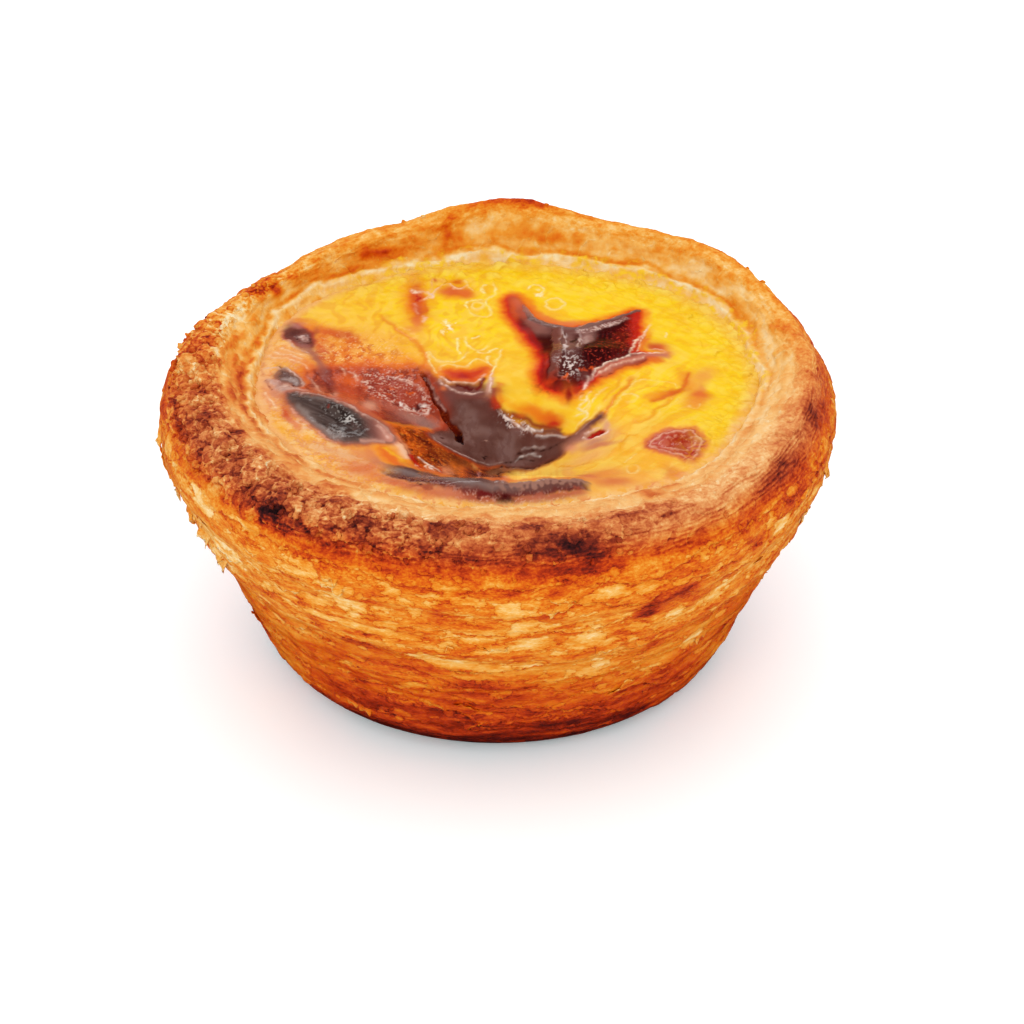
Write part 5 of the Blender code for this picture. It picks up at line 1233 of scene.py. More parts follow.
    # a small dark ridge above it: its grey partly painted sheen, its light outline a painted highlight
    d = inside(wx, wy, [(-24.3, 4.2), (-23.2, 3.8), (-22.4, 3.0), (-21.8, 1.9), (-21.7, 1.1), (-22.2, 0.8), (-23.0, 1.4), (-23.9, 1.7), (-24.4, 2.6)])
    halo(d, [(-0.7, (214, 120, 80), 0.0), (-0.2, (150, 90, 76), 0.85), (0.2, (118, 84, 76), 1.0), (0.8, (106, 72, 66), 1.0)])
    h += 0.15 * smooth(-0.2, 0.6, d)
    paint(0.8 * smooth(0.0, 0.4, d) * smooth(2.9, 1.9, wy), (176, 152, 146))
    wet(smooth(-0.1, 0.4, d), 1.0, 0.16)
    lines(([(-26.2, 5.4), (-24.6, 4.6), (-23.2, 4.1), (-22.3, 3.1), (-21.5, 1.7), (-21.4, 0.4)], 0.13, (232, 196, 180), 0.9, 0.07), ([(-24.6, 5.0), (-24.0, 4.5), (-23.6, 4.2)], 0.14, (80, 26, 20), 0.8, -0.04), ([(-25.6, 2.6), (-25.3, 1.2), (-24.6, 0.4)], 0.16, (150, 60, 44), 0.8, -0.04),
          ([(-26.0, 6.6), (-26.1, 4.8), (-25.9, 3.2)], 0.24, (200, 70, 36), 0.85, -0.04), ([(-21.0, 4.0), (-20.6, 2.2), (-20.3, 0.4)], 0.2, (150, 60, 44), 0.7, -0.04))
    torn((-22.7, 0.6, 0.3, 0.22, 0, 0.9, (96, 44, 36)))
    for line in ([(-26.0, 8.4), (-24.2, 6.6), (-22.2, 5.2), (-20.6, 4.2)], [(-25.0, 8.8), (-23.2, 6.8), (-21.4, 5.6)], [(-25.8, 0.4), (-25.0, -1.8), (-24.2, -3.8)], [(-24.6, 9.6), (-22.8, 7.8), (-21.6, 6.4)]):
        stroke(line, 0.15, (255, 220, 176), 0.7, 0.05)

    # small brown blister at the left edge and its tail; its pale ring and the light lines down its left side are
    # painted highlights
    d = dab(-22.4, 12.4, 2.9, 1.5, -62, 1.6)
    paint(0.95 * smooth(0.04, 0.35, d), (186, 74, 50))
    paint(0.98 * smooth(0.25, 0.65, d), (124, 62, 54))
    soft((-22.8, 12.7, 0.8, 1.0, -30, 0.8, (88, 38, 34)), (-22.6, 14.4, 0.8, 0.6, -20, 0.8, (196, 122, 108)), (-22.0, 15.0, 0.6, 0.4, -30, 0.6, (210, 120, 90)), (-21.6, 9.6, 0.8, 1.6, 34, 0.85, (150, 92, 84)), (-20.8, 7.8, 0.7, 1.6, 30, 0.85, (176, 104, 88)), (-19.9, 5.8, 0.6, 1.6, 20, 0.8, (170, 98, 82)), (-19.3, 3.8, 0.5, 1.2, 14, 0.7, (140, 76, 68)),
         (-20.6, 13.0, 0.5, 1.4, -10, 0.6, (170, 54, 36)), (-20.8, 10.2, 0.35, 1.0, 0, 0.7, (110, 44, 38)))
    torn((-21.8, 11.5, 0.52, 0.75, 22, 0.95, (222, 188, 178)), (-21.6, 11.3, 0.26, 0.4, 22, 0.8, (170, 112, 100)))
    lines(([(-22.6, 12.4), (-22.5, 11.2), (-21.7, 10.4), (-21.0, 10.7), (-21.1, 11.8), (-21.8, 12.5)], 0.2, (84, 36, 32), 0.8, -0.04), ([(-23.6, 11.4), (-22.9, 9.8), (-21.8, 8.4), (-20.9, 7.2)], 0.18, (220, 174, 158), 0.85, 0.06), ([(-24.2, 13.0), (-23.9, 11.6), (-23.0, 10.0)], 0.16, (206, 140, 120), 0.7, 0.05))
    h += 0.14 * dab(-22.4, 12.4, 2.4, 1.4, -62)

    # scorched folds at the back left, with pale lines and dabs of painted highlight
    soft((-9.4, 19.6, 1.5, 6.4, 3, 0.9, (243, 134, 8)), (-9.1, 19.4, 1.0, 5.4, 3, 0.9, (232, 98, 10)), (-9.2, 21.4, 0.7, 2.6, 0, 0.85, (214, 70, 18)), (-9.0, 17.4, 0.55, 2.0, 4, 0.8, (208, 82, 44)), (-9.0, 14.6, 0.6, 1.4, 0, 0.7, (226, 104, 56)), (-9.6, 12.8, 1.0, 0.8, 0, 0.6, (236, 132, 50)), (-8.2, 18.0, 0.3, 2.0, 0, 0.6, (220, 84, 20)),
         (-4.9, 22.2, 2.3, 1.5, -14, 0.9, (242, 138, 20)), (-5.0, 22.2, 1.7, 0.9, -16, 0.95, (222, 92, 34)), (-3.6, 21.6, 0.9, 1.2, 10, 0.85, (230, 106, 30)), (-6.6, 24.6, 1.4, 0.7, -10, 0.8, (240, 146, 40)), (-4.6, 24.4, 1.0, 0.8, -15, 0.8, (240, 140, 14)), (-4.7, 24.4, 0.55, 0.6, -15, 0.95, (214, 66, 6)), (-7.2, 24.9, 0.25, 0.6, 0, 0.9, (206, 58, 8)))
    torn((-9.1, 20.7, 0.22, 0.7, -10, 0.98, (190, 8, 0)), (-8.3, 14.8, 0.3, 0.8, 0, 0.8, (248, 190, 156)), (-9.3, 22.0, 0.5, 0.3, 0, 0.9, (250, 214, 186)), (-7.6, 21.3, 0.22, 0.6, -20, 0.9, (250, 206, 180)))
    lines(([(-9.2, 19.8), (-8.5, 20.3), (-7.8, 21.1), (-7.1, 22.5), (-6.5, 23.5), (-5.9, 23.9), (-5.3, 23.4), (-4.7, 22.7), (-4.1, 22.8), (-3.6, 23.6), (-3.2, 24.1)], 0.17, (253, 200, 150), 0.95, 0.09), ([(-9.9, 22.3), (-9.2, 21.8), (-8.4, 22.2), (-7.8, 21.6), (-7.3, 21.0)], 0.22, (248, 206, 180), 0.9, 0.08),
          ([(-7.9, 22.0), (-7.6, 23.0), (-7.7, 24.4), (-7.4, 25.6)], 0.18, (244, 170, 110), 0.8, 0.06), ([(-9.6, 19.6), (-9.2, 18.8), (-9.3, 17.4), (-8.9, 16.2)], 0.2, (236, 150, 116), 0.7, 0.05), ([(-3.8, 24.8), (-3.6, 24.2), (-3.4, 23.4), (-2.6, 22.0)], 0.16, (255, 216, 130), 0.8, 0.05))
    # rings of lifted skin in the yellow, painted pale along the fold as a highlight
    for cx, cy, wide, tall, size in ((-2.2, 18.8, 0.62, 1.0, 0.08), (6.4, 19.4, 1.15, 1.3, 0.08)):
        e = np.abs(np.sqrt(((wx - cx) / wide) ** 2 + ((wy - cy) / tall) ** 2) - 1.0) * min(wide, tall)
        fold = np.exp(-((e / 0.17) ** 2))
        h += size * fold
        paint(0.85 * fold, (255, 226, 140))
        wet(fold, 0.5)
    soft((-2.2, 18.8, 0.5, 0.9, 0, 0.6, (250, 184, 10)), (-2.3, 17.4, 0.8, 0.5, 0, 0.4, (249, 176, 20)), (6.4, 19.4, 0.7, 0.9, 0, 0.5, (250, 184, 10)))
    # squiggles of thin lifted skin between them, each a pale stroke of painted highlight with a darker gold stroke
    # beside it
    for line in ([(-3.4, 18.2), (-3.1, 16.9), (-2.2, 16.3), (-1.2, 16.1), (-0.6, 17.0), (-0.9, 18.1), (-1.3, 19.2), (-1.2, 20.4), (-0.5, 21.6), (-0.3, 23.2), (-0.8, 24.4)], [(-3.4, 18.0), (-3.5, 19.3), (-2.6, 20.3), (-1.4, 20.3)],
                 [(-1.5, 21.6), (-1.7, 22.8), (-1.2, 24.0)], [(3.3, 22.6), (3.8, 23.8), (4.9, 23.7), (5.3, 22.6), (4.7, 21.5), (4.2, 22.3)], [(-4.6, 11.4), (-4.3, 10.0), (-4.4, 8.6), (-4.2, 7.4)],
                 [(-3.8, 11.6), (-3.4, 10.0), (-3.0, 9.0), (-2.2, 8.4), (-1.4, 8.6), (-0.8, 9.3)], [(-3.0, 11.0), (-2.3, 11.3), (-1.8, 11.8)], [(-7.9, 8.3), (-7.4, 7.3), (-6.8, 6.4), (-6.0, 5.9), (-5.0, 5.9), (-4.2, 6.4), (-3.6, 7.4), (-3.1, 8.4)],
                 [(-8.0, 8.0), (-7.6, 6.4), (-7.0, 4.7), (-6.5, 3.7)], [(-6.6, 4.3), (-6.0, 5.3), (-5.2, 5.3), (-4.4, 4.8), (-3.4, 4.9), (-2.8, 5.8), (-2.2, 6.2), (-1.4, 5.8), (-0.8, 5.0), (-0.5, 4.2)], [(0.3, 8.8), (0.2, 7.4), (-0.1, 5.8), (-0.5, 4.2), (-0.8, 3.2)],
                 [(0.0, 8.8), (-0.6, 8.2), (-1.4, 7.6), (-2.4, 8.2)], [(-0.9, 6.9), (-1.1, 5.9), (-0.7, 4.9)]):
        stroke(line, 0.155, (255, 236, 160), 0.98, 0.07, 0.8)
        stroke([(a + 0.42, b - 0.2) for a, b in line], 0.24, (249, 176, 16), 0.5, -0.03)
    soft((-2.9, 6.9, 0.7, 0.8, 0, 0.7, (249, 178, 4)), (-1.4, 7.0, 0.5, 0.9, 0, 0.5, (250, 184, 10)))
    # bright dabs of painted highlight
    torn((-5.9, 14.2, 0.25, 0.5, 0, 0.9, (255, 240, 190)), (-5.3, 13.2, 0.3, 0.8, 10, 0.95, (255, 246, 214)), (-4.8, 14.2, 0.16, 0.35, 0, 0.9, (255, 236, 180)), (-6.0, 12.2, 0.14, 0.5, 0, 0.8, (255, 236, 180)), (4.8, 21.5, 0.4, 0.3, 0, 0.9, (255, 240, 190)), (4.6, 22.8, 0.4, 0.3, 30, 0.7, (255, 236, 160)))

    # the small red eye, in a fold of brown skin
    soft((10.6, -7.4, 2.4, 1.5, 0, 0.8, (222, 148, 120)), (9.4, -6.8, 0.9, 0.5, 30, 0.7, (160, 100, 90)), (11.9, -6.0, 0.4, 1.2, 10, 0.8, (226, 160, 130)), (11.2, -9.0, 2.2, 0.5, -8, 0.8, (206, 112, 86)), (8.0, -8.0, 1.0, 0.6, -40, 0.7, (232, 150, 116)), (10.8, -8.2, 1.2, 0.4, 0, 0.6, (190, 120, 104)))
    u, v = (wx - 10.8) / 1.15, (wy + 6.85 - 0.22 * (wx - 10.8)) / 0.55
    eye = smooth(1.15, 0.8, np.sqrt(u * u + v * v))
    paint(0.97 * eye, (176, 8, 4))
    paint(0.6 * eye * smooth(0.0, 0.4, n05), (112, 0, 0))
    h -= 0.10 * eye
    lines(([(9.3, -6.6), (9.9, -7.2), (11.0, -7.5), (12.0, -7.1), (12.3, -6.4)], 0.15, (253, 214, 196), 0.95, 0.07), ([(9.5, -6.5), (10.4, -6.1), (11.4, -5.9)], 0.13, (246, 206, 190), 0.8, 0.06), ([(11.5, -4.5), (11.9, -5.4), (12.3, -6.3), (12.6, -7.2)], 0.2, (236, 170, 130), 0.8, 0.05))
    wet(eye, 1.0, 0.12)

    # the brown ringed mark at the right: its pale rings, on slightly raised skin, and the pale specks in its red
    # centre are painted highlights
    mark = inside(wx, wy, [(16.2, -10.6), (17.2, -9.6), (18.4, -9.0), (20.0, -8.8), (21.6, -8.4), (22.2, -9.6), (22.6, -11.0), (22.0, -12.4), (21.6, -13.8), (20.9, -15.0), (20.0, -14.0), (18.8, -13.3), (17.4, -12.4), (16.5, -11.6)])
    halo(mark + 0.15 * n05, [(-0.8, (248, 166, 60), 0.0), (-0.25, (230, 118, 56), 0.8), (0.25, (196, 74, 50), 1.0), (1.6, (180, 54, 36), 1.0)])
    m = smooth(-0.2, 0.4, mark)
    worn = mark + 0.18 * n05 + 0.2 * n1
    raised_ring_highlights = np.exp(-(((worn - 0.40) / 0.16) ** 2)) + 0.8 * np.exp(-(((worn - 1.25) / 0.15) ** 2)) * smooth(-0.3, 0.1, n05)
    paint(0.5 * m * smooth(0.0, 0.4, n1), (214, 112, 84))
    paint(0.75 * m * raised_ring_highlights, (240, 178, 150))
    paint(0.9 * dab(20.0, -10.4, 0.95, 0.85, -15, 1.6, True), (166, 10, 2))
    paint(0.8 * dab(20.0, -10.4, 0.95, 0.85, 0, 1.6, True) * smooth(0.2, 0.42, specks), (240, 150, 110))
    torn((21.2, -12.6, 0.4, 0.4, 0, 0.9, (180, 16, 0)), (18.2, -12.4, 1.2, 0.5, -30, 0.6, (206, 96, 66)), (20.8, -14.4, 0.5, 0.9, 20, 0.8, (228, 106, 40)))
    h += m * 0.05 * raised_ring_highlights + 0.04 * m
    wet(m, 0.8, 0.2)

    # the skin rolled up along the front, with a grey band of painted sheen along its top
    e, along, side = beside(wx, wy, ROLL, 5.0)
    width = np.interp(along, [0, 0.08, 0.2, 0.36, 0.5, 0.65, 1.0], [0.8, 1.7, 2.0, 1.75, 1.15, 0.95, 0.6])
    ends = smooth(0.0, 0.14, along) * smooth(1.0, 0.92, along)
    far = side * e
    across = far / width
    top = smooth(1.1, 0.7, e / width) * ends
    h += 0.20 * np.exp(-((e / width / 0.95) ** 2)) * ends
    paint(0.8 * np.exp(-(((across - 1.25) / 0.35) ** 2)) * ends, (220, 108, 50))
    paint(0.8 * np.exp(-(((across + 1.3) / 0.5) ** 2)) * ends, (206, 104, 70))
    paint(top, (112, 70, 64))
    paint(0.75 * top * np.exp(-(((across - 0.15) / 0.42) ** 2)) * smooth(0.85, 0.4, along), (142, 122, 118))
    paint(0.80 * top * np.exp(-(((across - 0.6) / 0.25) ** 2)), (100, 66, 60))
    paint(0.70 * top * smooth(-0.3, -0.9, across) * smooth(0.05, 0.35, specks), (214, 172, 160))
    paint(0.75 * top * smooth(-0.25, -0.8, across), (96, 34, 34))
    paint(0.65 * top * smooth(0.50, 0.68, along) * smooth(-0.2, 0.3, across + 0.8 * n05), (184, 134, 116))
    wet(top, 1.4, 0.14)
    under = np.exp(-(((e - 1.35) / 0.6) ** 2)) * (side < 0) * smooth(0.34, 0.5, along) * smooth(0.98, 0.8, along)
    paint(0.85 * under, (170, 76, 60))
    paint(0.7 * under * smooth(0.12, 0.36, specks), (228, 172, 152))
    torn((0.8, -22.8, 1.1, 0.55, -10, 0.98, (72, 2, 6)), (-1.4, -22.4, 1.1, 0.32, -12, 0.95, (112, 22, 22)), (-0.4, -23.3, 0.8, 0.25, -10, 0.8, (176, 60, 50)), (-7.8, -20.6, 1.6, 0.5, -12, 0.8, (160, 70, 50)), (-8.2, -20.2, 0.3, 0.25, 0, 0.9, (60, 16, 12)), (-5.0, -21.9, 1.6, 0.5, -14, 0.8, (214, 124, 90)), (4.6, -22.5, 2.4, 0.4, 6, 0.8, (186, 100, 78)),
         (8.4, -21.6, 1.2, 0.5, 10, 0.7, (190, 92, 66)), (-8.4, -22.2, 1.0, 0.4, -10, 0.7, (240, 130, 50)), (-11.0, -19.8, 0.8, 0.4, -25, 0.7, (220, 110, 60)))
    edge_glow = smooth(0.92, 0.985, q)
    merge = smooth(0.945, 0.995, q + 0.012 * n1) * smooth(40, 75, np.abs(turn_to(deg, 55)))
    paint(0.85 * merge, (250, 190, 122))
    paint(0.8 * edge_glow * smooth(-18, -22, y), (251, 200, 122))
    paint(0.8 * edge_glow * smooth(-16, -20, y) * smooth(0.15, 0.45, flecks), (246, 168, 34))
    paint(0.7 * edge_glow * smooth(-16, -20, y) * smooth(0.2, 0.5, -flecks), (226, 110, 50))

    # curd-like lumps round the back and right edge
    rim_side = smooth(-12, 22, 90 - np.abs(turn_to(deg, 44))) * smooth(0.76, 0.97, q)
    f1, f2, own, _ = cells(at(1.7, 3.0) + 0.35 * np.stack([n1, n2, 0 * x], 1), 31)
    lump = smooth(0.75, 0.1, f1) * own
    h += rim_side * (0.38 * lump + 0.10 * n1 + 0.05 * n05)
    paint(0.60 * rim_side * lump, (255, 230, 104))
    paint(0.45 * rim_side * smooth(0.22, 0.02, f2 - f1), (248, 184, 4))
    # the edge sinks against the pastry
    h -= 0.45 * smooth(0.975, 1.03, q) * (1 - 0.7 * rim_side) + 1.6 * smooth(1.0, 1.05, q)
    return h, colour / LIGHT, np.clip(gloss * 0.45, 0, 1), np.clip(rough, 0.1, 0.8)


def custard_top(material):
    """The custard's skin in four quarters of one grid."""
    k = CUSTARD_GRID
    u, v = np.meshgrid(np.linspace(-1, 1, k + 1), np.linspace(-1, 1, k + 1))
    u, v = u.ravel(), v.ravel()
    dx, dy = u * np.sqrt(1 - v * v / 2), v * np.sqrt(1 - u * u / 2)
    t = np.arctan2(dy, dx)
    r = np.hypot(dx, dy) * custard_rim(t) * 1.045
    x, y = r * np.cos(t), r * np.sin(t)
    h, colour, gloss, rough = in_parts(custard_skin, x, y)
    points = np.stack([x + CENTRE[0], y + CENTRE[1], h], 1).reshape(k + 1, k + 1, 3)
    normals = grid_normals(points, False)
    shape = (k + 1, k + 1)
    colour = colour.reshape(shape + (3,))
    gloss, rough = gloss.reshape(shape), rough.reshape(shape)
    half = k // 2
    pieces = []
    for name, a, b in (("left_front", 0, 0), ("right_front", half, 0), ("left_back", 0, half), ("right_back", half, half)):
        cut = (slice(b, b + half + 1), slice(a, a + half + 1))
        w = half + 1
        i, j = np.meshgrid(np.arange(half), np.arange(half))
        i, j = i.ravel(), j.ravel()
        faces = np.stack([j * w + i, j * w + i + 1, (j + 1) * w + i + 1, (j + 1) * w + i], 1)
        verts = points[cut].reshape(-1, 3)
        low, high = verts.min(0), verts.max(0)
        flat = 0.01 + 0.98 * (verts[:, :2] - low[:2]) / (high[:2] - low[:2])
        values = {"paint": colour[cut].reshape(-1, 3), "gloss": gloss[cut].ravel(), "rough": rough[cut].ravel()}
        pieces.append(make_mesh("custard_" + name, verts, faces, material, values, flat[faces].reshape(-1, 2), normals[cut].reshape(-1, 3)))
    return pieces


# ---------------------------------------------------------------- build

side_mat = pastry_material("pastry_side", 3.0)
rim_mat = pastry_material("pastry_rim", 1.8)
rings = case_rings([
    ("pastry_lower_side", 11.0, 4, ROW, side_mat),
    ("pastry_middle_side", 22.0, 4, ROW, side_mat),
    ("pastry_upper_side", 32.6, 4, ROW, side_mat),
    ("pastry_outer_rim", CREST + 0.8, 5, ROW * 0.85, rim_mat),
    ("pastry_inner_rim", END, 5, ROW, rim_mat),
])
custard = custard_top(custard_material())

# underside: a shallow disc with the marks of the folded dough
rows = 24
t = np.arange(COLUMNS) * math.tau / COLUMNS
rr = np.linspace(1.0, 0.0, rows + 1)[:-1]
p0, _, _ = skin(t, np.zeros(COLUMNS))
r0 = np.hypot(p0[:, 0], p0[:, 1])
tt, qq = np.meshgrid(t, rr)
radius = (qq * r0[None, :]).ravel()
x, y = radius * np.cos(tt.ravel()), radius * np.sin(tt.ravel())
edge_z = np.tile(p0[:, 2], rows)
pts = np.stack([x / 3.0, y / 3.0, 0 * x], 1)
up_in = 0.10 * np.clip(fbm(pts, 3, 301) + 0.4, 0, 1) * smooth(1.0, 0.93, qq.ravel())
z = edge_z * smooth(0.9, 1.0, qq.ravel()) + up_in
verts = np.concatenate([np.stack([x + CENTRE[0], y + CENTRE[1], z], 1), [[CENTRE[0], CENTRE[1], 0.05]]])
swirl = np.sin(radius * 1.9 + tt.ravel() + 1.5 * fbm(pts, 2, 303))
brown = 0.64 + 0.10 * swirl + 0.16 * fbm(pts * 1.7, 3, 305) + 0.2 * smooth(0.85, 1.0, qq.ravel())
brown = np.concatenate([brown, [0.66]])
i, j = np.meshgrid(np.arange(COLUMNS), np.arange(rows - 1))
i, j = i.ravel(), j.ravel()
nxt = (i + 1) % COLUMNS
quads = np.stack([j * COLUMNS + i, (j + 1) * COLUMNS + i, (j + 1) * COLUMNS + nxt, j * COLUMNS + nxt], 1)
last = (rows - 1) * COLUMNS
k = np.arange(COLUMNS)
tris = np.stack([last + k, np.full(COLUMNS, len(verts) - 1), last + (k + 1) % COLUMNS], 1)
faces = np.concatenate([quads[:, [0, 1, 2]], quads[:, [0, 2, 3]], tris])
flat = np.stack([(verts[:, 0] + 25) / 50.0, (verts[:, 1] + 25) / 50.0], 1)
one = np.ones(len(verts))
base = make_mesh("pastry_underside", verts, faces, side_mat, {"brown": brown, "grain": 0.8 * one, "gloss": 0.3 * one, "away": 2 * one, "tear": -0.5 * one, "dry_and_sheen": 0 * one, "lip": 0 * one, "under": 0 * one, "crumbs": 0 * one, "egg": 0 * one}, flat[faces].reshape(-1, 2))



# ---------------------------------------------------------------- loose bits

BITS = {"away": 2.0, "lip": 0.0, "under": 0.0, "egg": 0.0}


def loose_flakes():
    """Thin torn sheets: one edge is held by the case, the other has curled away from it."""
    rng = np.random.RandomState(77)
    own = [(-177, 31.6, 0.5, 2.0, -1, 0.85), (-172, 30.8, 0.34, 2.6, -1, 0.8), (-166, 29.2, 0.7, 1.7, -1, 0.7), (-160, 27.4, 0.9, 1.5, -1, 0.7), (-155, 25.8, 1.1, 1.3, -1, 0.65), (-150, 24.0, 1.0, 1.2, -1, 0.6),
           (-168, 24.6, 0.6, 1.2, -1, 0.6), (-163, 21.0, 0.7, 1.0, -1, 0.5), (-14, 31.0, 1.0, 1.3, -1, 0.6), (-9, 27.4, 0.8, 1.1, -1, 0.55), (-19, 24.8, 0.9, 1.0, 1, 0.5)]
    for _ in range(84):
        own.append((rng.uniform(-180, 180), 4.0 + 29.0 * rng.uniform() ** 0.8, rng.uniform(0.6, 2.0), rng.uniform(0.4, 0.95), -1 if rng.uniform() < 0.8 else 1, rng.uniform(0.10, 0.34)))
    across, along = ((13, 8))
    u, v = np.meshgrid(np.linspace(-1, 1, across), np.linspace(0, 1, along))
    u, v = u.ravel(), v.ravel()
    m = len(u)
    bearing, place, wide, tall, way, lift = (np.repeat(np.array(c, float), m) for c in zip(*own))
    seed = np.repeat(np.arange(len(own)) * 7.7, m)
    u, v = np.tile(u, len(own)), np.tile(v, len(own))
    torn = noise(np.stack([u * 1.3, seed, 0 * u], 1), 401) + 0.3 * noise(np.stack([u * 3.1, seed, 0 * u], 1), 402)
    sides = noise(np.stack([v * 1.8 + 3 * np.sign(u), seed, 0 * u], 1), 403)
    reach = v * (0.82 + 0.45 * torn)
    span = u * (1 - 0.45 * v * v + 0.30 * sides)
    s = place + way * tall * 2.0 * (reach - 0.15) + 0.35 * wide * span * np.sin(seed)
    s = np.clip(s, 0.6, END)
    t = np.radians(bearing) + wide * span / 30.0
    p, brown, dry_and_sheen, gloss, grain_, _, _, _, _, crumbs, _ = dough(t, s)
    n = skin(t, s)[1]
    raised = -0.14 + (lift + 0.14) * v ** 1.5 * (0.75 + 0.5 * noise(np.stack([u * 1.6, seed, 0 * u], 1), 404)) + 0.12 * u * u * v
    thick = 0.13 * (1 - 0.75 * np.maximum(np.abs(u) ** 6, v ** 8))
    top, bottom = p + n * (raised + thick / 2)[:, None], p + n * (raised - thick / 2)[:, None]
    verts = np.concatenate([top, bottom]) + [CENTRE[0], CENTRE[1], 0]
    i, j = np.meshgrid(np.arange(across - 1), np.arange(along - 1))
    a = (j * across + i).ravel()
    grid = np.stack([a, a + 1, a + 1 + across, a + across], 1)
    ring = np.concatenate([np.arange(across), np.arange(1, along) * across + across - 1, (along - 1) * across + np.arange(across - 2, -1, -1), np.arange(along - 2, 0, -1) * across])
    nxt = np.roll(ring, -1)
    total = len(u)
    faces = []
    for k, flake in enumerate(own):
        up_ = grid + k * m
        wall = np.stack([ring + k * m, ring + k * m + total, nxt + k * m + total, nxt + k * m], 1)
        both = np.concatenate([up_, up_[:, ::-1] + total, wall])
        faces.append(both if flake[4] > 0 else both[:, ::-1])
    pale = brown * 0.92 - 0.10 * smooth(0.5, 1.0, v) - 0.04
    values = {"brown": np.concatenate([pale, pale + 0.08]), "tear": np.tile(-0.5 + 0.58 * smooth(0.45, 1.0, v), 2), "gloss": np.tile(gloss * 0.6, 2)}
    values.update({"dry_and_sheen": np.tile(dry_and_sheen, 2), "grain": np.tile(grain_, 2), "crumbs": np.tile(0.4 * crumbs, 2)})
    values.update({key: np.full(2 * total, x) for key, x in BITS.items()})
    return make_mesh("pastry_flakes", verts, np.concatenate(faces), side_mat, values)


def loose_crumbs():
    """Broken bits of crust, mostly on the rim at the left and front."""
    rng = np.random.RandomState(78)
    shape = bmesh.new()
    bmesh.ops.create_icosphere(shape, subdivisions=2, radius=1.0)
    ball = np.array([v.co[:] for v in shape.verts])
    tris = np.array([[v.index for v in f.verts] for f in shape.faces])
    shape.free()
    count = 300
    own = np.arange(count)
    bearing = np.where(rng.uniform(size=count) < 0.8, rng.uniform(-200, -66, count), rng.uniform(-180, 180, count))
    place = rng.uniform(34.6, 40.6, count)
    radius = 0.16 + 0.30 * rng.uniform(size=count) ** 2
    radius *= np.where((bearing > -66) & (bearing < 160), 0.6, 1.0)
    p, brown, dry_and_sheen, gloss, grain_, _, _, _, _, crumbs, _ = dough(np.radians(bearing), place)
    n = skin(np.radians(bearing), place)[1]
    m = len(ball)
    spin = rng.normal(size=(count, 3, 3))
    spin = np.linalg.qr(spin)[0]
    spin[np.linalg.det(spin) < 0, :, 0] *= -1
    squash = rng.uniform(0.55, 1.35, (count, 1, 3))
    points = np.einsum("nij,nmj->nmi", spin, ball[None] * squash)
    bump_ = 1 + 0.70 * noise((points * 1.3 + own[:, None, None] * 5.1).reshape(-1, 3), 405).reshape(count, m, 1)
    points = points * bump_ * radius[:, None, None]
    points += (p + n * (0.10 * radius)[:, None])[:, None, :]
    verts = points.reshape(-1, 3) + [CENTRE[0], CENTRE[1], 0]
    faces = (tris[None] + (own * m)[:, None, None]).reshape(-1, 3)

    def each(x):
        return np.repeat(x, m)

    tint = each(brown + rng.normal(size=count) * 0.08 - 0.04)
    values = {"brown": tint, "dry_and_sheen": each(dry_and_sheen), "gloss": each(0.5 * gloss), "grain": each(grain_), "tear": np.full(len(verts), -0.5), "crumbs": each(0.4 * crumbs)}
    values.update({key: np.full(len(verts), x) for key, x in BITS.items()})
    return make_mesh("pastry_crumbs", verts, faces, rim_mat, values)


bits = [loose_flakes(), loose_crumbs()]

for piece in rings + [base] + bits:
    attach(piece, "root")
    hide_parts("pastry_case")
for piece in custard:
    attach(piece, "root")
    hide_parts("custard")

# ---------------------------------------------------------------- floor, light, camera

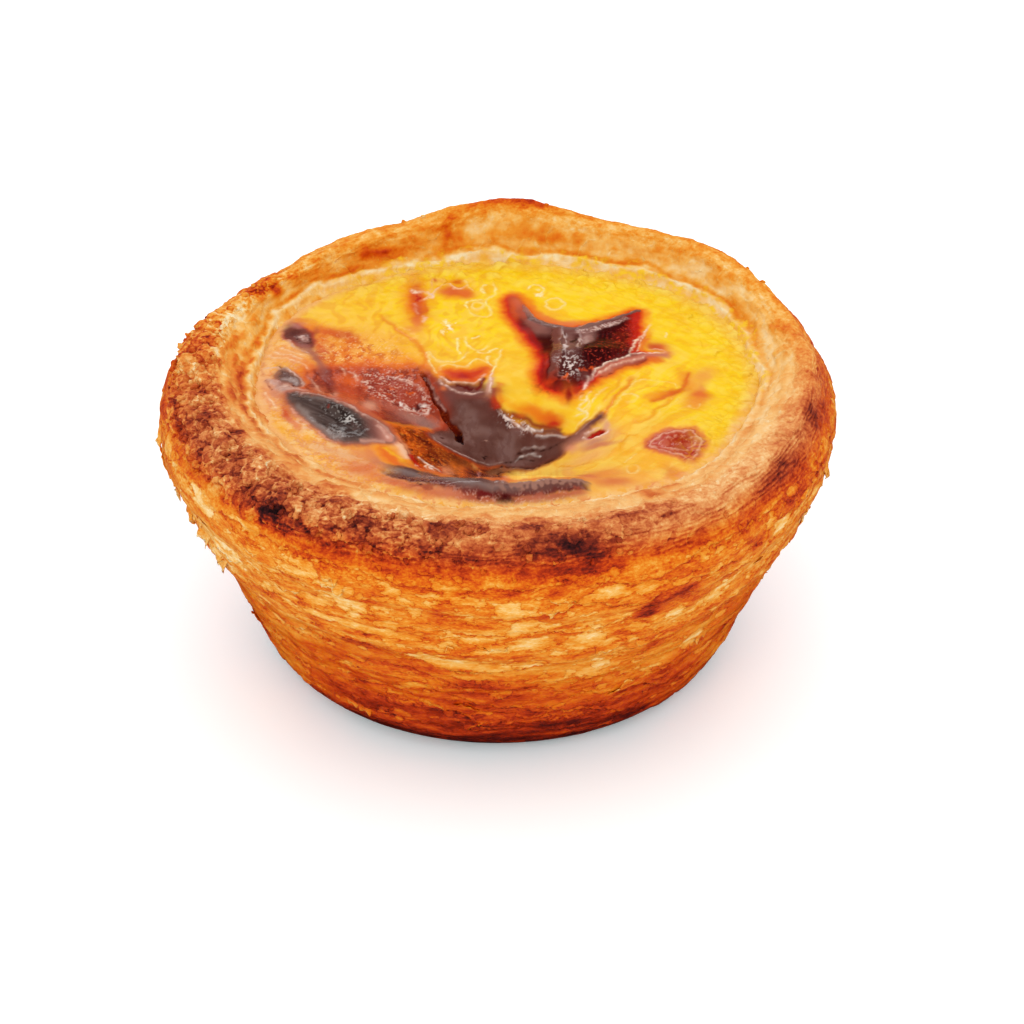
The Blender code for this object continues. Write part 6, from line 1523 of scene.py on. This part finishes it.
floor_mat, tree, shader = nodes_of("floor_white")
shader.inputs["Base Color"].default_value = (0.885, 0.915, 0.93, 1)
shader.inputs["Roughness"].default_value = 0.9
shader.inputs["Specular IOR Level"].default_value = 0.0
shader.inputs["Emission Color"].default_value = (0.86, 1.0, 1.0, 1)
shader.inputs["Emission Strength"].default_value = 0.19
bpy.ops.mesh.primitive_plane_add(size=4.0, location=(0, 0, -0.00005))
floor = bpy.context.object
floor.name = "floor"
floor.data.materials.append(floor_mat)
floor.visible_glossy = False

scene = bpy.context.scene
world = bpy.data.worlds.new("studio")
scene.world = world
world.use_nodes = True
world.node_tree.nodes["Background"].inputs["Color"].default_value = (1.0, 1.0, 1.0, 1)
world.node_tree.nodes["Background"].inputs["Strength"].default_value = 1.15
world.cycles_visibility.glossy = False            # what is glossy shows the soft boxes, not the even dome


def softbox(name, place, width, height, radiance):
    data = bpy.data.lights.new(name, "AREA")
    data.shape = "RECTANGLE"
    data.size, data.size_y = width, height
    data.energy = radiance * math.pi * width * height
    lamp = bpy.data.objects.new(name, data)
    lamp.location = place
    lamp.rotation_euler = (Vector((0, 0, 0.02)) - Vector(place)).to_track_quat("-Z", "Y").to_euler()
    scene.collection.objects.link(lamp)
    return lamp


broad = softbox("light_back", (0.0, 1.15, 0.72), 1.3, 0.6, 1.6)
broad.visible_glossy = False                      # its glints come from the smaller box above it
glint = softbox("light_glint", (-0.22, 1.0, 1.0), 0.42, 0.24, 3.2)
glint.visible_diffuse = False
softbox("light_front", (-0.2, -1.2, 0.95), 1.0, 0.7, 1.2)

el = math.radians(33.0)
camera_data = bpy.data.cameras.new("camera")
camera = bpy.data.objects.new("camera", camera_data)
scene.collection.objects.link(camera)
aim = np.array([1.62, -0.97, 15.5]) * MM
camera.location = aim + 0.6 * np.array([0.0, -math.cos(el), math.sin(el)])
camera.rotation_euler = (math.radians(90) - el, 0, 0)
camera_data.sensor_width = 36.0
camera_data.lens = 5376.0 / 1024 * 36.0
camera_data.clip_start = 0.01
camera_data.dof.use_dof = False
scene.camera = camera
scene.view_settings.view_transform = "Standard"
scene.view_settings.look = "None"
